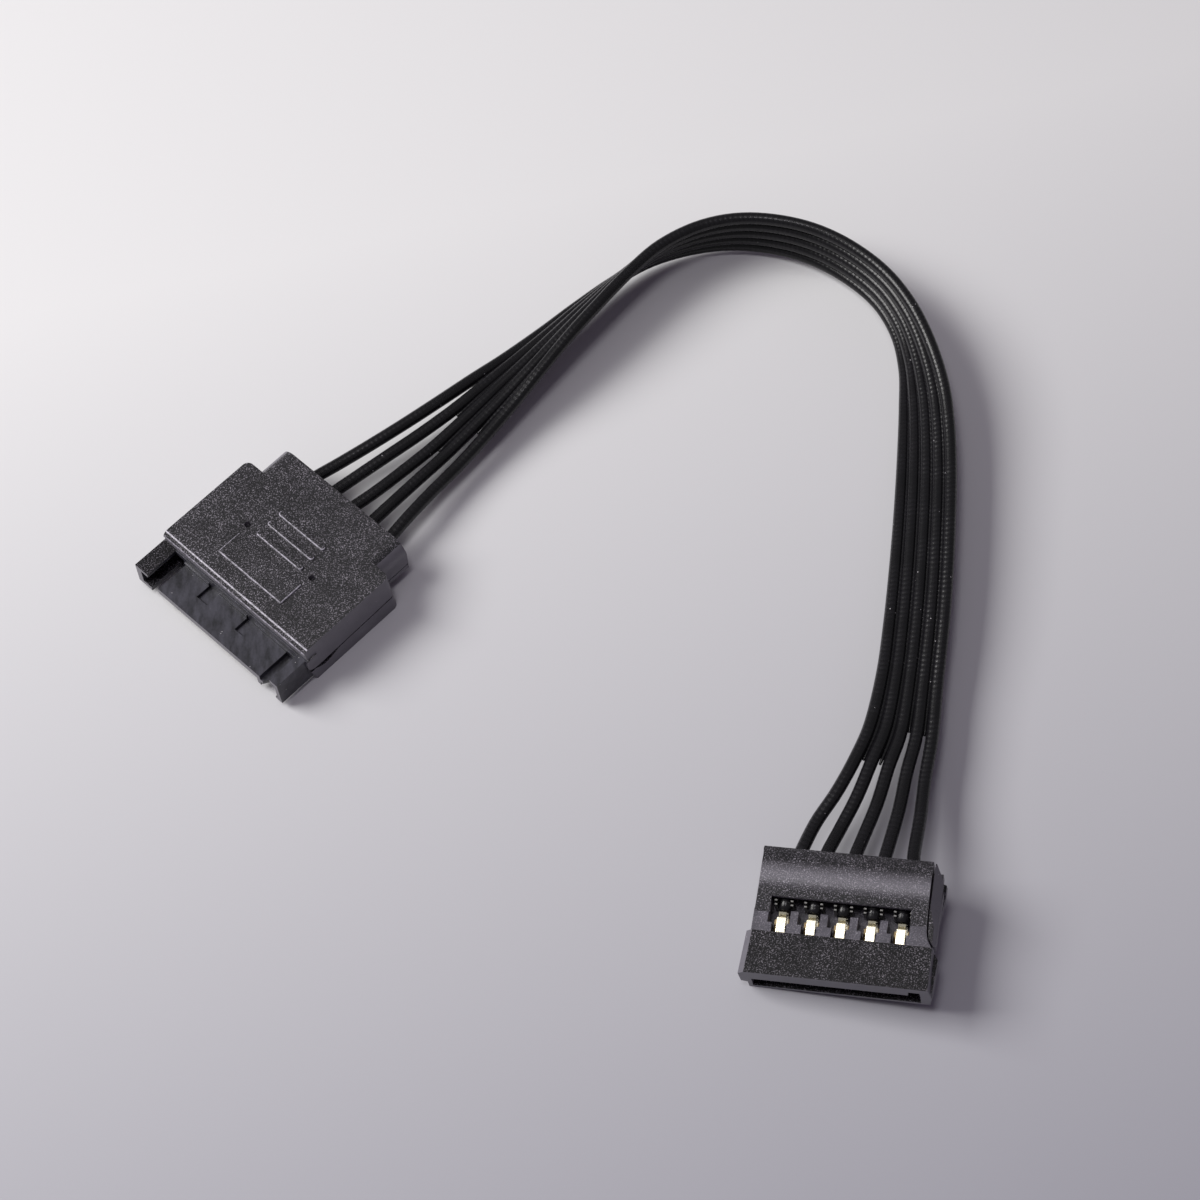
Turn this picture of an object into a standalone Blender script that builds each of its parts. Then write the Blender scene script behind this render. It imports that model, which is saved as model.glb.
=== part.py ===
"""SATA power extension cable: a plug and a receptacle joined by five bonded wires.

Sizes are millimetres, and MM turns them into metres. Each connector is modelled in its own
frame (x across, y from the mating side to the wires, z up) and is then set on the table by an
empty. A wire's route runs from the plug's channel, along the ribbon, to the receptacle's channel.
"""

import math

import bmesh
import bpy
from mathutils import Euler, Matrix, Vector

MM = 0.001

# Contacts, shared by both connectors
CIRCUITS = 5
CONTACTS_EACH = 3
CONTACT_PITCH = 1.27
WIRE_PITCH = CONTACT_PITCH * CONTACTS_EACH
CONTACT_ROW = WIRE_PITCH * CIRCUITS
SHEET = 0.25

# Clearances
GAP = 0.3
OVERLAP = 0.2
CUT_PAST = 1.0
SHELL_ROUND = 0.22

# Wire
WIRE_DIAMETER = 1.5
WIRE_STEP = 4.0
CHANNEL_PLAY = 0.45
CHANNEL_RADIUS = WIRE_DIAMETER / 2 + CHANNEL_PLAY

# Where each connector lies
PLUG_AT = (-40.1, 19.4, 0.0)
PLUG_TURN = (0.0, 0.0, -45.0)
RECEPTACLE_AT = (39.3, -35.2, 7.12)
RECEPTACLE_TURN = (4.1, -7.2, -12.0)

# Plug
TONGUE_MARGIN = 0.76
TONGUE_WIDTH = CONTACT_ROW + 2 * TONGUE_MARGIN
ARM_ROOM = 4.115
ARM_SPAN = TONGUE_WIDTH + 2 * ARM_ROOM
FLANGE_PROUD = 0.2
PLUG_WIDTH = ARM_SPAN - 2 * FLANGE_PROUD
PLUG_LENGTH = 16.4
PLUG_HEIGHT = 7.6
PLUG_SEAM = 2.4
PLUG_WALL = 1.3
PLUG_CORNER = 1.0
COLLAR_MARGIN = 2.875
COLLAR_WIDTH = CONTACT_ROW + 2 * COLLAR_MARGIN
COLLAR_LENGTH = 5.0
COLLAR_RADIUS = 2.6
TONGUE_REACH = 5.33
TONGUE_TOP = 3.48
TONGUE_THICKNESS = 1.23
KEY_WIDTH = 0.68
KEY_DROP = 1.2
INSERT_FLOOR = 0.4
BLADE_WIDTH = 0.84
BLADE_ROOT = 1.5
BLADE_SETBACK = 0.5
NOTCH_WIDTH = 1.5
NOTCH_REACH = 1.55
NOTCH_DEPTH = 0.5
NOTCH_PLACES = (-4.3, 3.4)
ARM_TOP = 5.26
ARM_HEIGHT = 4.03
HOOK_ARM_WIDTH = 2.6
HOOK_ARM_WALL = 0.85
PLAIN_ARM_WIDTH = 1.8
LEDGE_THICKNESS = 0.72
FLANGE_THICKNESS = 1.3
PLUG_WIRE_Z = 3.8
PLUG_WIRE_START = 5.2
PLUG_FORK_Y = 6.6
PLUG_FORK_TOP = 5.4
PLUG_CRADLE_FROM = 8.5
PLUG_CRADLE_TO = 13.0
RIB_LENGTH = 9.0
RIB_WIDTH = 0.86
RIB_HEIGHT = 0.25
RIB_ROWS = (9.1, 11.25, 13.4)
PLATE_WIDTH = 12.6
PLATE_DEPTH = 4.1
PLATE_CENTRE_Y = 5.25
PIN_HOLE_RADIUS = 0.5
PIN_HOLE_DEPTH = 0.8
PIN_HOLE_SPREAD = 6.45
PIN_HOLE_Y = 9.05

# Receptacle, its heights counted from the front block's top
SLOT_MARGIN = 1.325
SLOT_WIDTH = CONTACT_ROW + 2 * SLOT_MARGIN
FRONT_WALL = 1.15
FRONT_WIDTH = SLOT_WIDTH + 2 * FRONT_WALL
FRONT_LENGTH = 5.85
FRONT_HEIGHT = 5.28
FLOOR_DROP = 0.3
FLOOR_FALL = 0.3
FLOOR_LENGTH = 3.2
BASE_LENGTH = 11.3
BASE_TOP = -3.3
SLOT_TOP = -2.1
SLOT_HEIGHT = 2.5
SLOT_DEPTH = 5.3
KEYWAY_WIDTH = 1.95
KEYWAY_RISE = 0.65
GROOVE_WALL = 0.32
GROOVE_WIDTH = CONTACT_PITCH - GROOVE_WALL
GROOVE_RISE = 0.6
GROOVE_FRONT = -5.25
GROOVE_BACK = -0.3
PASSAGE_SPAN = (-0.9, 0.8)
DIVIDER_THIN = 1.16
DIVIDER_THICK = 1.89
WINDOW_WIDE = WIRE_PITCH - DIVIDER_THIN
WINDOW_NARROW = WIRE_PITCH - DIVIDER_THICK
WINDOW_FRONT = 0.25
WINDOW_SHOULDER = 1.55
COVER_INSET = 0.93
COVER_WIDTH = FRONT_WIDTH - 2 * COVER_INSET
COVER_FRONT = 2.8
COVER_REAR = 11.6
CROWN_Z = 1.22
CROWN = ((6.2, 0.9), (7.4, 1.17), (8.6, CROWN_Z), (9.9, 0.97), (11.0, 0.57), (COVER_REAR, 0.1))
OPENING_ROOM = 3.06
COVER_OPENING = WIRE_PITCH * (CIRCUITS - 1) + OPENING_ROOM
COVER_OPENING_BACK = 4.9
COVER_ROOF = -0.05
COVER_WALL = 1.45
COVER_REAR_WALL = 2.3
SKIRT_PROUD = 0.4
SKIRT_WIDTH = FRONT_WIDTH + 2 * SKIRT_PROUD
SKIRT_TOP = -0.5
SKIRT_SHOULDER = -0.85
SKIRT_EDGE = -1.95
SKIRT_ROUND = 0.45
BRIDGE_TOP = -0.65
SKIRT_FRONT = 0.4
SKIRT_REAR = 10.8
LATCH_PROUD = 0.4
LATCH_HEIGHT = 1.2
LATCH_FROM = 8.3
LATCH_TO = 9.4
RECEPTACLE_WIRE_Z = -1.6
RECEPTACLE_WIRE_END = 3.55
STRIP_WIDTH = 1.23
STRIP_FRONT = 0.45
STRIP_BACK = 2.15
STRIP_TOP = -0.55
FINGER_WIDTH = 0.6
FINGER_INSET = 0.25
FINGER_TOP = SLOT_TOP + FINGER_INSET
FINGER_ROOT = -0.6
FINGER_LINE = ((-0.5, 0.0), (-0.9, 0.0), (-3.6, 0.5), (-4.9, 0.1))
RECEPTACLE_FORK_Y = 5.3
RECEPTACLE_FORK_TOP = -0.35

# The ribbon's route on the table: x, y, z of its middle wire in mm, the lean of the ribbon
# about its own length in degrees (0 flat, 90 on edge, 180 flat and turned over), and the
# spacing of its wires in mm
RIBBON = (
    (-21.5, 37.9, 3.9, 1, 3.31),
    (-17.6, 41.5, 3.9, -2, 2.91),
    (-13.3, 45.4, 3.9, -4, 2.52),
    (-8.9, 49.3, 4.1, -2, 2.18),
    (-4.2, 53.4, 4.4, 6, 1.89),
    (0.1, 57.2, 4.8, 22, 1.84),
    (5.3, 62.2, 5.2, 39, 1.84),
    (10.1, 67.0, 5.4, 49, 1.84),
    (15.3, 72.0, 5.4, 59, 1.84),
    (20.8, 76.2, 5.5, 69, 1.84),
    (27.5, 78.9, 5.5, 79, 1.84),
    (34.4, 79.5, 5.5, 85, 1.84),
    (41.7, 77.8, 5.5, 89, 1.84),
    (47.8, 74.3, 5.5, 92, 1.84),
    (53.1, 68.9, 5.5, 95, 1.84),
    (56.2, 62.8, 5.5, 102, 1.84),
    (57.7, 56.1, 5.4, 115, 1.84),
    (58.1, 48.9, 5.4, 134, 1.84),
    (57.8, 42.1, 5.4, 146, 1.84),
    (57.1, 34.9, 5.4, 154, 1.84),
    (56.1, 27.2, 5.5, 159, 1.84),
    (54.9, 19.1, 5.5, 165, 1.84),
    (53.6, 11.4, 5.4, 171, 1.84),
    (52.0, 3.3, 5.3, 180, 1.86),
    (50.1, -4.8, 5.3, 183, 2.10),
    (48.2, -10.3, 5.4, 182, 2.41),
    (46.0, -15.7, 5.6, 178, 2.83),
    (43.5, -20.5, 5.9, 172, 3.35),
)

# Colours, roughness and metallic values
BLACK_PLASTIC = ((0.028, 0.026, 0.031, 1.0), 0.55, 0.0)
SMOOTH_PLASTIC = ((0.030, 0.029, 0.033, 1.0), 0.42, 0.0)
INSERT_PLASTIC = ((0.032, 0.034, 0.042, 1.0), 0.40, 0.0)
GOLD_PLATE = ((0.92, 0.74, 0.42, 1.0), 0.25, 1.0)
WIRE_JACKET = ((0.016, 0.015, 0.018, 1.0), 0.38, 0.0)


def clear_scene():
    """Remove whatever is in the scene."""
    for found in list(bpy.data.objects):
        bpy.data.objects.remove(found, do_unlink=True)


def material(name, look):
    """A Principled material from a colour, a roughness and a metallic value."""
    made = bpy.data.materials.new(name)
    made.use_nodes = True
    shader = made.node_tree.nodes["Principled BSDF"]
    shader.inputs["Base Color"].default_value = look[0]
    shader.inputs["Roughness"].default_value = look[1]
    shader.inputs["Metallic"].default_value = look[2]
    return made


def link(name, data, parent=None):
    """An object for this data, under the connector's empty where it has one."""
    made = bpy.data.objects.new(name, data)
    bpy.context.scene.collection.objects.link(made)
    if parent is not None:
        made.parent = parent
    return made


def empty(name, place, turn):
    """The frame that a connector is modelled in."""
    made = link(name, None)
    made.location = Vector(place) * MM
    made.rotation_euler = Euler([math.radians(angle) for angle in turn])
    return made


def add_prism(shape, outline, low, high, axis):
    """Add a closed prism to the mesh: an outline across the axis, from low to high along it."""
    place = {
        "X": lambda u, v, w: (w, u, v),
        "Y": lambda u, v, w: (u, w, v),
        "Z": lambda u, v, w: (u, v, w),
    }[axis]
    near = [shape.verts.new(Vector(place(u, v, low)) * MM) for u, v in outline]
    far = [shape.verts.new(Vector(place(u, v, high)) * MM) for u, v in outline]
    shape.faces.new(near)
    shape.faces.new(far)
    count = len(outline)
    for index in range(count):
        after = (index + 1) % count
        shape.faces.new((near[index], near[after], far[after], far[index]))


def add_box(shape, x, y, z):
    """Add a box between two x values, two y values and two z values."""
    outline = [(x[0], y[0]), (x[1], y[0]), (x[1], y[1]), (x[0], y[1])]
    add_prism(shape, outline, z[0], z[1], "Z")


def ring(centre, radius, corners):
    """Points round a whole circle."""
    return arc(centre, radius, 0, 360, corners)[:-1]


def arc(centre, radius, start, end, steps):
    """Points on an arc, its angles in degrees."""
    points = []
    for step in range(steps + 1):
        angle = math.radians(start + (end - start) * step / steps)
        points.append((centre[0] + radius * math.cos(angle), centre[1] + radius * math.sin(angle)))
    return points


def mesh_object(name, fill, parent):
    """An object whose closed mesh is made by the fill function."""
    shape = bmesh.new()
    fill(shape)
    bmesh.ops.recalc_face_normals(shape, faces=shape.faces)
    data = bpy.data.meshes.new(name)
    shape.to_mesh(data)
    shape.free()
    return link(name, data, parent)


def helper(name, fill, parent):
    """A mesh that only cuts or joins, hidden from the model."""
    made = mesh_object(name, fill, parent)
    made.hide_render = True
    made.display_type = "WIRE"
    return made


def combine(target, other, operation):
    """Cut a helper from the target, or join it on."""
    step = target.modifiers.new(other.name, "BOOLEAN")
    step.operation = operation
    step.solver = "EXACT"
    step.object = other


def cut(target, name, fill):
    """Cut the shape made by the fill function."""
    combine(target, helper(name, fill, target.parent), "DIFFERENCE")


def join(target, name, fill):
    """Join on the shape made by the fill function."""
    combine(target, helper(name, fill, target.parent), "UNION")


def soften(target, width):
    """Round the edges of a moulding."""
    step = target.modifiers.new("soften", "BEVEL")
    step.width = width * MM
    step.segments = 2
    step.limit_method = "ANGLE"
    step.angle_limit = math.radians(40)


def circuit_x(circuit):
    """The x of one circuit's wire, counted from the connector's middle."""
    return (circuit - (CIRCUITS - 1) / 2) * WIRE_PITCH


def contact_x(circuit, contact):
    """The x of one contact of a circuit."""
    return circuit_x(circuit) + (contact - (CONTACTS_EACH - 1) / 2) * CONTACT_PITCH


def wire_channels(centre_z, y, floor):
    """Arched channels for the five wires, open below."""
    def fill(shape):
        for circuit in range(CIRCUITS):
            middle = circuit_x(circuit)
            arch = arc((middle, centre_z), CHANNEL_RADIUS, 0, 180, 8)
            outline = [(middle + CHANNEL_RADIUS, floor)] + arch + [(middle - CHANNEL_RADIUS, floor)]
            add_prism(shape, outline, y[0], y[1], "Y")
    return fill


def fork_outline(middle, bottom, top):
    """The outline of a fork that stands astride its wire."""
    slot = CHANNEL_RADIUS
    half = WIRE_PITCH / 2 - GAP
    return [
        (middle - half, bottom),
        (middle + half, bottom),
        (middle + half, top),
        (middle + slot, top),
        (middle + slot, bottom + SHEET),
        (middle - slot, bottom + SHEET),
        (middle - slot, top),
        (middle - half, top),
    ]


def plug_top_cover(frame, look):
    """The grained upper shell with its collar, ribs and plain label plate."""
    half = PLUG_WIDTH / 2
    bottom = PLUG_SEAM + GAP

    def body(shape):
        rear = arc((half - PLUG_CORNER, PLUG_LENGTH - PLUG_CORNER), PLUG_CORNER, 0, 90, 4)
        mirrored = [(-x, y) for x, y in reversed(rear)]
        outline = [(-half, 0), (half, 0)] + rear + mirrored
        add_prism(shape, outline, bottom, PLUG_HEIGHT, "Z")

    def collar(shape):
        side = COLLAR_WIDTH / 2
        right = arc((side - COLLAR_RADIUS, PLUG_HEIGHT - COLLAR_RADIUS), COLLAR_RADIUS, 0, 90, 8)
        left = [(-x, z) for x, z in reversed(right)]
        outline = [(-side, bottom), (side, bottom)] + right + left
        rear = PLUG_LENGTH + COLLAR_LENGTH
        add_prism(shape, outline, PLUG_LENGTH - PLUG_CORNER - OVERLAP, rear, "Y")

    def hollow(shape):
        inner = half - PLUG_WALL
        add_box(shape, (-inner, inner), (FLANGE_THICKNESS, PLUG_LENGTH - PLUG_WALL - GAP),
                (bottom - CUT_PAST, PLUG_HEIGHT - PLUG_WALL))

    def mouth(shape):
        reach = half + CUT_PAST
        add_box(shape, (-reach, reach), (-CUT_PAST, FLANGE_THICKNESS + GAP),
                (bottom - CUT_PAST, ARM_TOP + GAP))

    def marks(shape):
        for side in (-1, 1):
            pin = ring((side * PIN_HOLE_SPREAD, PIN_HOLE_Y), PIN_HOLE_RADIUS, 16)
            add_prism(shape, pin, PLUG_HEIGHT - PIN_HOLE_DEPTH, PLUG_HEIGHT + CUT_PAST, "Z")

    def ribs(shape):
        low = PLUG_HEIGHT - OVERLAP
        for row in RIB_ROWS:
            add_box(shape, (-RIB_LENGTH / 2, RIB_LENGTH / 2), (row - RIB_WIDTH / 2, row + RIB_WIDTH / 2),
                    (low, PLUG_HEIGHT + RIB_HEIGHT))
        add_box(shape, (-PLATE_WIDTH / 2, PLATE_WIDTH / 2),
                (PLATE_CENTRE_Y - PLATE_DEPTH / 2, PLATE_CENTRE_Y + PLATE_DEPTH / 2),
                (low, PLUG_HEIGHT + RIB_HEIGHT / 2))

    cover = mesh_object("male_top_cover", body, frame)
    soften(cover, SHELL_ROUND)
    join(cover, "male_collar", collar)
    cut(cover, "male_cover_hollow", hollow)
    cut(cover, "male_cover_mouth", mouth)
    tunnel = (PLUG_LENGTH - PLUG_WALL - 2 * GAP, PLUG_LENGTH + COLLAR_LENGTH + CUT_PAST)
    cut(cover, "male_cover_channels", wire_channels(PLUG_WIRE_Z, tunnel, bottom - CUT_PAST))
    cut(cover, "male_pin_holes", marks)
    join(cover, "male_ribs", ribs)
    cover.data.materials.append(look)


def plug_bottom_cover(frame, look):
    """The shallow lower shell under the insert and the collar."""
    half = PLUG_WIDTH / 2

    def body(shape):
        rear = arc((half - PLUG_CORNER, PLUG_LENGTH - PLUG_CORNER), PLUG_CORNER, 0, 90, 4)
        mirrored = [(-x, y) for x, y in reversed(rear)]
        add_prism(shape, [(-half, 0), (half, 0)] + rear + mirrored, 0, PLUG_SEAM, "Z")

    def collar(shape):
        side = COLLAR_WIDTH / 2
        add_box(shape, (-side, side), (PLUG_LENGTH - PLUG_CORNER - OVERLAP, PLUG_LENGTH + COLLAR_LENGTH),
                (0, PLUG_SEAM))

    def hollow(shape):
        inner = half - PLUG_WALL
        floor = TONGUE_TOP - TONGUE_THICKNESS - SHEET - 3 * GAP
        add_box(shape, (-inner, inner), (FLANGE_THICKNESS, PLUG_LENGTH - PLUG_WALL - GAP),
                (floor, PLUG_SEAM + CUT_PAST))

    def mouth(shape):
        low = ARM_TOP - ARM_HEIGHT - GAP
        reach = half + CUT_PAST
        add_box(shape, (-reach, reach), (-CUT_PAST, FLANGE_THICKNESS + GAP),
                (low, PLUG_SEAM + CUT_PAST))

    cover = mesh_object("male_bottom_cover", body, frame)
    soften(cover, SHELL_ROUND)
    join(cover, "male_lower_collar", collar)
    cut(cover, "male_tray", hollow)
    cut(cover, "male_tray_mouth", mouth)
    cover.data.materials.append(look)


def plug_insert(frame, look):
    """The tongue with its key, the two guide arms, their flange and the wire cradle."""
    tongue_bottom = TONGUE_TOP - TONGUE_THICKNESS
    arm_bottom = ARM_TOP - ARM_HEIGHT
    span = ARM_SPAN / 2
    inner = PLUG_WIDTH / 2 - PLUG_WALL - GAP

    def flange(shape):
        add_box(shape, (-span, span), (0, FLANGE_THICKNESS), (arm_bottom, ARM_TOP))

    def tongue(shape):
        half = TONGUE_WIDTH / 2
        outline = [
            (-half, TONGUE_TOP),
            (-half, tongue_bottom),
            (half - KEY_WIDTH, tongue_bottom),
            (half - KEY_WIDTH, tongue_bottom - KEY_DROP),
            (half, tongue_bottom - KEY_DROP),
            (half, TONGUE_TOP),
        ]
        add_prism(shape, outline, -TONGUE_REACH, FLANGE_THICKNESS / 2, "Y")

    def hook_arm(shape):
        wall = HOOK_ARM_WALL
        outline = [
            (-span, arm_bottom),
            (-span + HOOK_ARM_WIDTH, arm_bottom),
            (-span + HOOK_ARM_WIDTH, arm_bottom + wall),
            (-span + wall, arm_bottom + wall),
            (-span + wall, ARM_TOP - wall),
            (-span + HOOK_ARM_WIDTH, ARM_TOP - wall),
            (-span + HOOK_ARM_WIDTH, ARM_TOP),
            (-span, ARM_TOP),
        ]
        add_prism(shape, outline, -TONGUE_REACH, FLANGE_THICKNESS / 2, "Y")

    def plain_arm(shape):
        ledge = TONGUE_WIDTH / 2 + GAP
        outline = [
            (ledge, arm_bottom),
            (span, arm_bottom),
            (span, ARM_TOP),
            (span - PLAIN_ARM_WIDTH, ARM_TOP),
            (span - PLAIN_ARM_WIDTH, arm_bottom + LEDGE_THICKNESS),
            (ledge, arm_bottom + LEDGE_THICKNESS),
        ]
        add_prism(shape, outline, -TONGUE_REACH, FLANGE_THICKNESS / 2, "Y")

    def floor(shape):
        add_box(shape, (-inner, inner), (FLANGE_THICKNESS / 2, PLUG_CRADLE_TO),
                (tongue_bottom, tongue_bottom + INSERT_FLOOR))

    def cradle(shape):
        add_box(shape, (-inner, inner), (PLUG_CRADLE_FROM, PLUG_CRADLE_TO),
                (tongue_bottom + OVERLAP, PLUG_WIRE_Z - GAP))

    def grooves(shape):
        for circuit in range(CIRCUITS):
            groove = ring((circuit_x(circuit), PLUG_WIRE_Z), CHANNEL_RADIUS, 12)
            add_prism(shape, groove, PLUG_CRADLE_FROM - CUT_PAST, PLUG_CRADLE_TO + CUT_PAST, "Y")

    def passages(shape):
        reach = CONTACT_ROW / 2
        add_box(shape, (-reach, reach), (-CUT_PAST, FLANGE_THICKNESS + CUT_PAST),
                (arm_bottom - CUT_PAST, tongue_bottom))
        fork = (PLUG_FORK_Y - GAP, PLUG_FORK_Y + SHEET + GAP)
        add_box(shape, (-reach, reach), fork, (tongue_bottom - CUT_PAST, PLUG_WIRE_Z))

    def pockets(shape):
        half = TONGUE_WIDTH / 2
        through = (-CUT_PAST, FLANGE_THICKNESS + CUT_PAST)
        height = (arm_bottom + HOOK_ARM_WALL, ARM_TOP - HOOK_ARM_WALL)
        add_box(shape, (-span + HOOK_ARM_WALL, -half - GAP), through, height)
        add_box(shape, (half + GAP, span - PLAIN_ARM_WIDTH), through, height)

    def notches(shape):
        for place in NOTCH_PLACES:
            add_box(shape, (place - NOTCH_WIDTH / 2, place + NOTCH_WIDTH / 2), (-NOTCH_REACH, 0),
                    (TONGUE_TOP - NOTCH_DEPTH, TONGUE_TOP + CUT_PAST))

    insert = mesh_object("male_insert", flange, frame)
    join(insert, "male_tongue", tongue)
    join(insert, "male_hook_arm", hook_arm)
    join(insert, "male_plain_arm", plain_arm)
    join(insert, "male_floor", floor)
    join(insert, "male_cradle", cradle)
    cut(insert, "male_grooves", grooves)
    cut(insert, "male_passages", passages)
    cut(insert, "male_pockets", pockets)
    cut(insert, "male_notches", notches)
    insert.data.materials.append(look)


def plug_terminal(circuit, frame, look):
    """Three blades under the tongue, a bar across them and the fork for the wire."""
    top = TONGUE_TOP - TONGUE_THICKNESS - GAP
    bottom = top - SHEET
    middle = circuit_x(circuit)
    half = CONTACT_PITCH + BLADE_WIDTH / 2

    def outline_bar():
        front = FLANGE_THICKNESS + BLADE_ROOT
        tip = BLADE_SETBACK - TONGUE_REACH
        points = []
        for contact in range(CONTACTS_EACH):
            left = contact_x(circuit, contact) - BLADE_WIDTH / 2
            points.append((left, front))
            points.append((left, tip))
            points.append((left + BLADE_WIDTH, tip))
            points.append((left + BLADE_WIDTH, front))
        points[-1] = (middle + half, front)
        points.append((middle + half, PLUG_FORK_Y + SHEET))
        points.append((middle - half, PLUG_FORK_Y + SHEET))
        return points

    def comb(shape):
        add_prism(shape, outline_bar(), bottom, top, "Z")

    def fork(shape):
        outline = fork_outline(middle, bottom, PLUG_FORK_TOP)
        add_prism(shape, outline, PLUG_FORK_Y, PLUG_FORK_Y + SHEET, "Y")

    terminal = mesh_object(f"male_terminal_{circuit + 1}", comb, frame)
    join(terminal, f"male_fork_{circuit + 1}", fork)
    terminal.data.materials.append(look)


def receptacle_housing(frame, look):
    """The front block with its mating slot, the windowed floor and the base under the cover."""
    half = FRONT_WIDTH / 2
    bottom = -FRONT_HEIGHT
    floor_back = -FLOOR_DROP - FLOOR_FALL

    def body(shape):
        outline = [
            (-FRONT_LENGTH, bottom),
            (-FRONT_LENGTH, 0),
            (0, 0),
            (0, -FLOOR_DROP),
            (FLOOR_LENGTH, floor_back),
            (FLOOR_LENGTH, BASE_TOP),
            (BASE_LENGTH, BASE_TOP),
            (BASE_LENGTH, bottom),
        ]
        add_prism(shape, outline, -half, half, "X")

    def shoulders(shape):
        side = COVER_WIDTH / 2
        for sign in (-1, 1):
            across = sorted((sign * side, sign * (half + CUT_PAST)))
            add_box(shape, across, (OVERLAP / 2, FLOOR_LENGTH + CUT_PAST), (BASE_TOP, CUT_PAST))

    def mating_slot(shape):
        reach = SLOT_WIDTH / 2
        low = SLOT_TOP - SLOT_HEIGHT
        outline = [
            (-reach, low),
            (reach, low),
            (reach, SLOT_TOP + KEYWAY_RISE),
            (reach - KEYWAY_WIDTH, SLOT_TOP + KEYWAY_RISE),
            (reach - KEYWAY_WIDTH, SLOT_TOP),
            (-reach, SLOT_TOP),
        ]
        add_prism(shape, outline, -FRONT_LENGTH - CUT_PAST, SLOT_DEPTH - FRONT_LENGTH, "Y")

    def grooves(shape):
        for circuit in range(CIRCUITS):
            for contact in range(CONTACTS_EACH):
                middle = contact_x(circuit, contact)
                across = (middle - GROOVE_WIDTH / 2, middle + GROOVE_WIDTH / 2)
                add_box(shape, across, (GROOVE_FRONT, GROOVE_BACK),
                        (SLOT_TOP - OVERLAP, SLOT_TOP + GROOVE_RISE))

    def passages(shape):
        for circuit in range(CIRCUITS):
            middle = circuit_x(circuit)
            reach = WIRE_PITCH / 2 - GAP / 2
            add_box(shape, (middle - reach, middle + reach), PASSAGE_SPAN,
                    (FINGER_TOP - SHEET - GAP, FINGER_TOP + GAP))

    def windows(shape):
        for circuit in range(CIRCUITS):
            middle = circuit_x(circuit)
            wide = WINDOW_WIDE / 2
            narrow = WINDOW_NARROW / 2
            outline = [
                (middle - narrow, WINDOW_FRONT),
                (middle + narrow, WINDOW_FRONT),
                (middle + narrow, WINDOW_SHOULDER),
                (middle + wide, WINDOW_SHOULDER),
                (middle + wide, FLOOR_LENGTH + CUT_PAST),
                (middle - wide, FLOOR_LENGTH + CUT_PAST),
                (middle - wide, WINDOW_SHOULDER),
                (middle - narrow, WINDOW_SHOULDER),
            ]
            add_prism(shape, outline, BASE_TOP, CUT_PAST, "Z")

    housing = mesh_object("female_housing", body, frame)
    soften(housing, SHELL_ROUND)
    cut(housing, "female_shoulders", shoulders)
    cut(housing, "female_slot", mating_slot)
    cut(housing, "female_grooves", grooves)
    cut(housing, "female_windows", windows)
    cut(housing, "female_passages", passages)
    housing.data.materials.append(look)


def receptacle_cover(frame, look):
    """The rounded cap over the forks, with side skirts that latch on the base."""
    side = COVER_WIDTH / 2
    foot = GAP - FLOOR_DROP - FLOOR_FALL * COVER_FRONT / FLOOR_LENGTH
    bottom = BASE_TOP + GAP
    inside = FLOOR_LENGTH + GAP

    def body(shape):
        outline = [
            (COVER_FRONT, foot),
            *CROWN,
            (COVER_REAR, bottom),
            (inside, bottom),
            (inside, foot),
        ]
        add_prism(shape, outline, -side, side, "X")

    def opening(shape):
        reach = COVER_OPENING / 2
        add_box(shape, (-reach, reach), (0, COVER_OPENING_BACK), (bottom - CUT_PAST, CROWN_Z + CUT_PAST))

    def hollow(shape):
        reach = side - COVER_WALL
        add_box(shape, (-reach, reach), (COVER_OPENING_BACK - CUT_PAST, COVER_REAR - COVER_REAR_WALL),
                (bottom - CUT_PAST, COVER_ROOF))

    def skirt(sign):
        def fill(shape):
            out = SKIRT_WIDTH / 2
            near = side + GAP
            profile = ((near, SKIRT_TOP), (out - SKIRT_ROUND, SKIRT_SHOULDER), (out, SKIRT_EDGE),
                       (out, bottom), (near, bottom))
            outline = [(sign * x, z) for x, z in profile]
            add_prism(shape, outline, SKIRT_FRONT, SKIRT_REAR, "Y")
        return fill

    def bridge(sign):
        def fill(shape):
            across = sorted((sign * (side - OVERLAP), sign * (side + GAP + OVERLAP)))
            add_box(shape, across, (inside + OVERLAP, SKIRT_REAR - OVERLAP), (bottom, BRIDGE_TOP))
        return fill

    def latch(sign):
        def fill(shape):
            out = SKIRT_WIDTH / 2
            profile = ((out - OVERLAP, bottom), (out + LATCH_PROUD, bottom),
                       (out - OVERLAP, bottom + LATCH_HEIGHT))
            outline = [(sign * x, z) for x, z in profile]
            add_prism(shape, outline, LATCH_FROM, LATCH_TO, "Y")
        return fill

    cover = mesh_object("female_cover", body, frame)
    soften(cover, SHELL_ROUND / 2)
    for sign, hand in ((-1, "left"), (1, "right")):
        join(cover, f"female_{hand}_bridge", bridge(sign))
        join(cover, f"female_{hand}_skirt", skirt(sign))
        join(cover, f"female_{hand}_latch", latch(sign))
    cut(cover, "female_opening", opening)
    cut(cover, "female_hollow", hollow)
    tunnel = (COVER_REAR - COVER_REAR_WALL - CUT_PAST, COVER_REAR + CUT_PAST)
    cut(cover, "female_channels", wire_channels(RECEPTACLE_WIRE_Z, tunnel, bottom - CUT_PAST))
    cover.data.materials.append(look)


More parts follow.
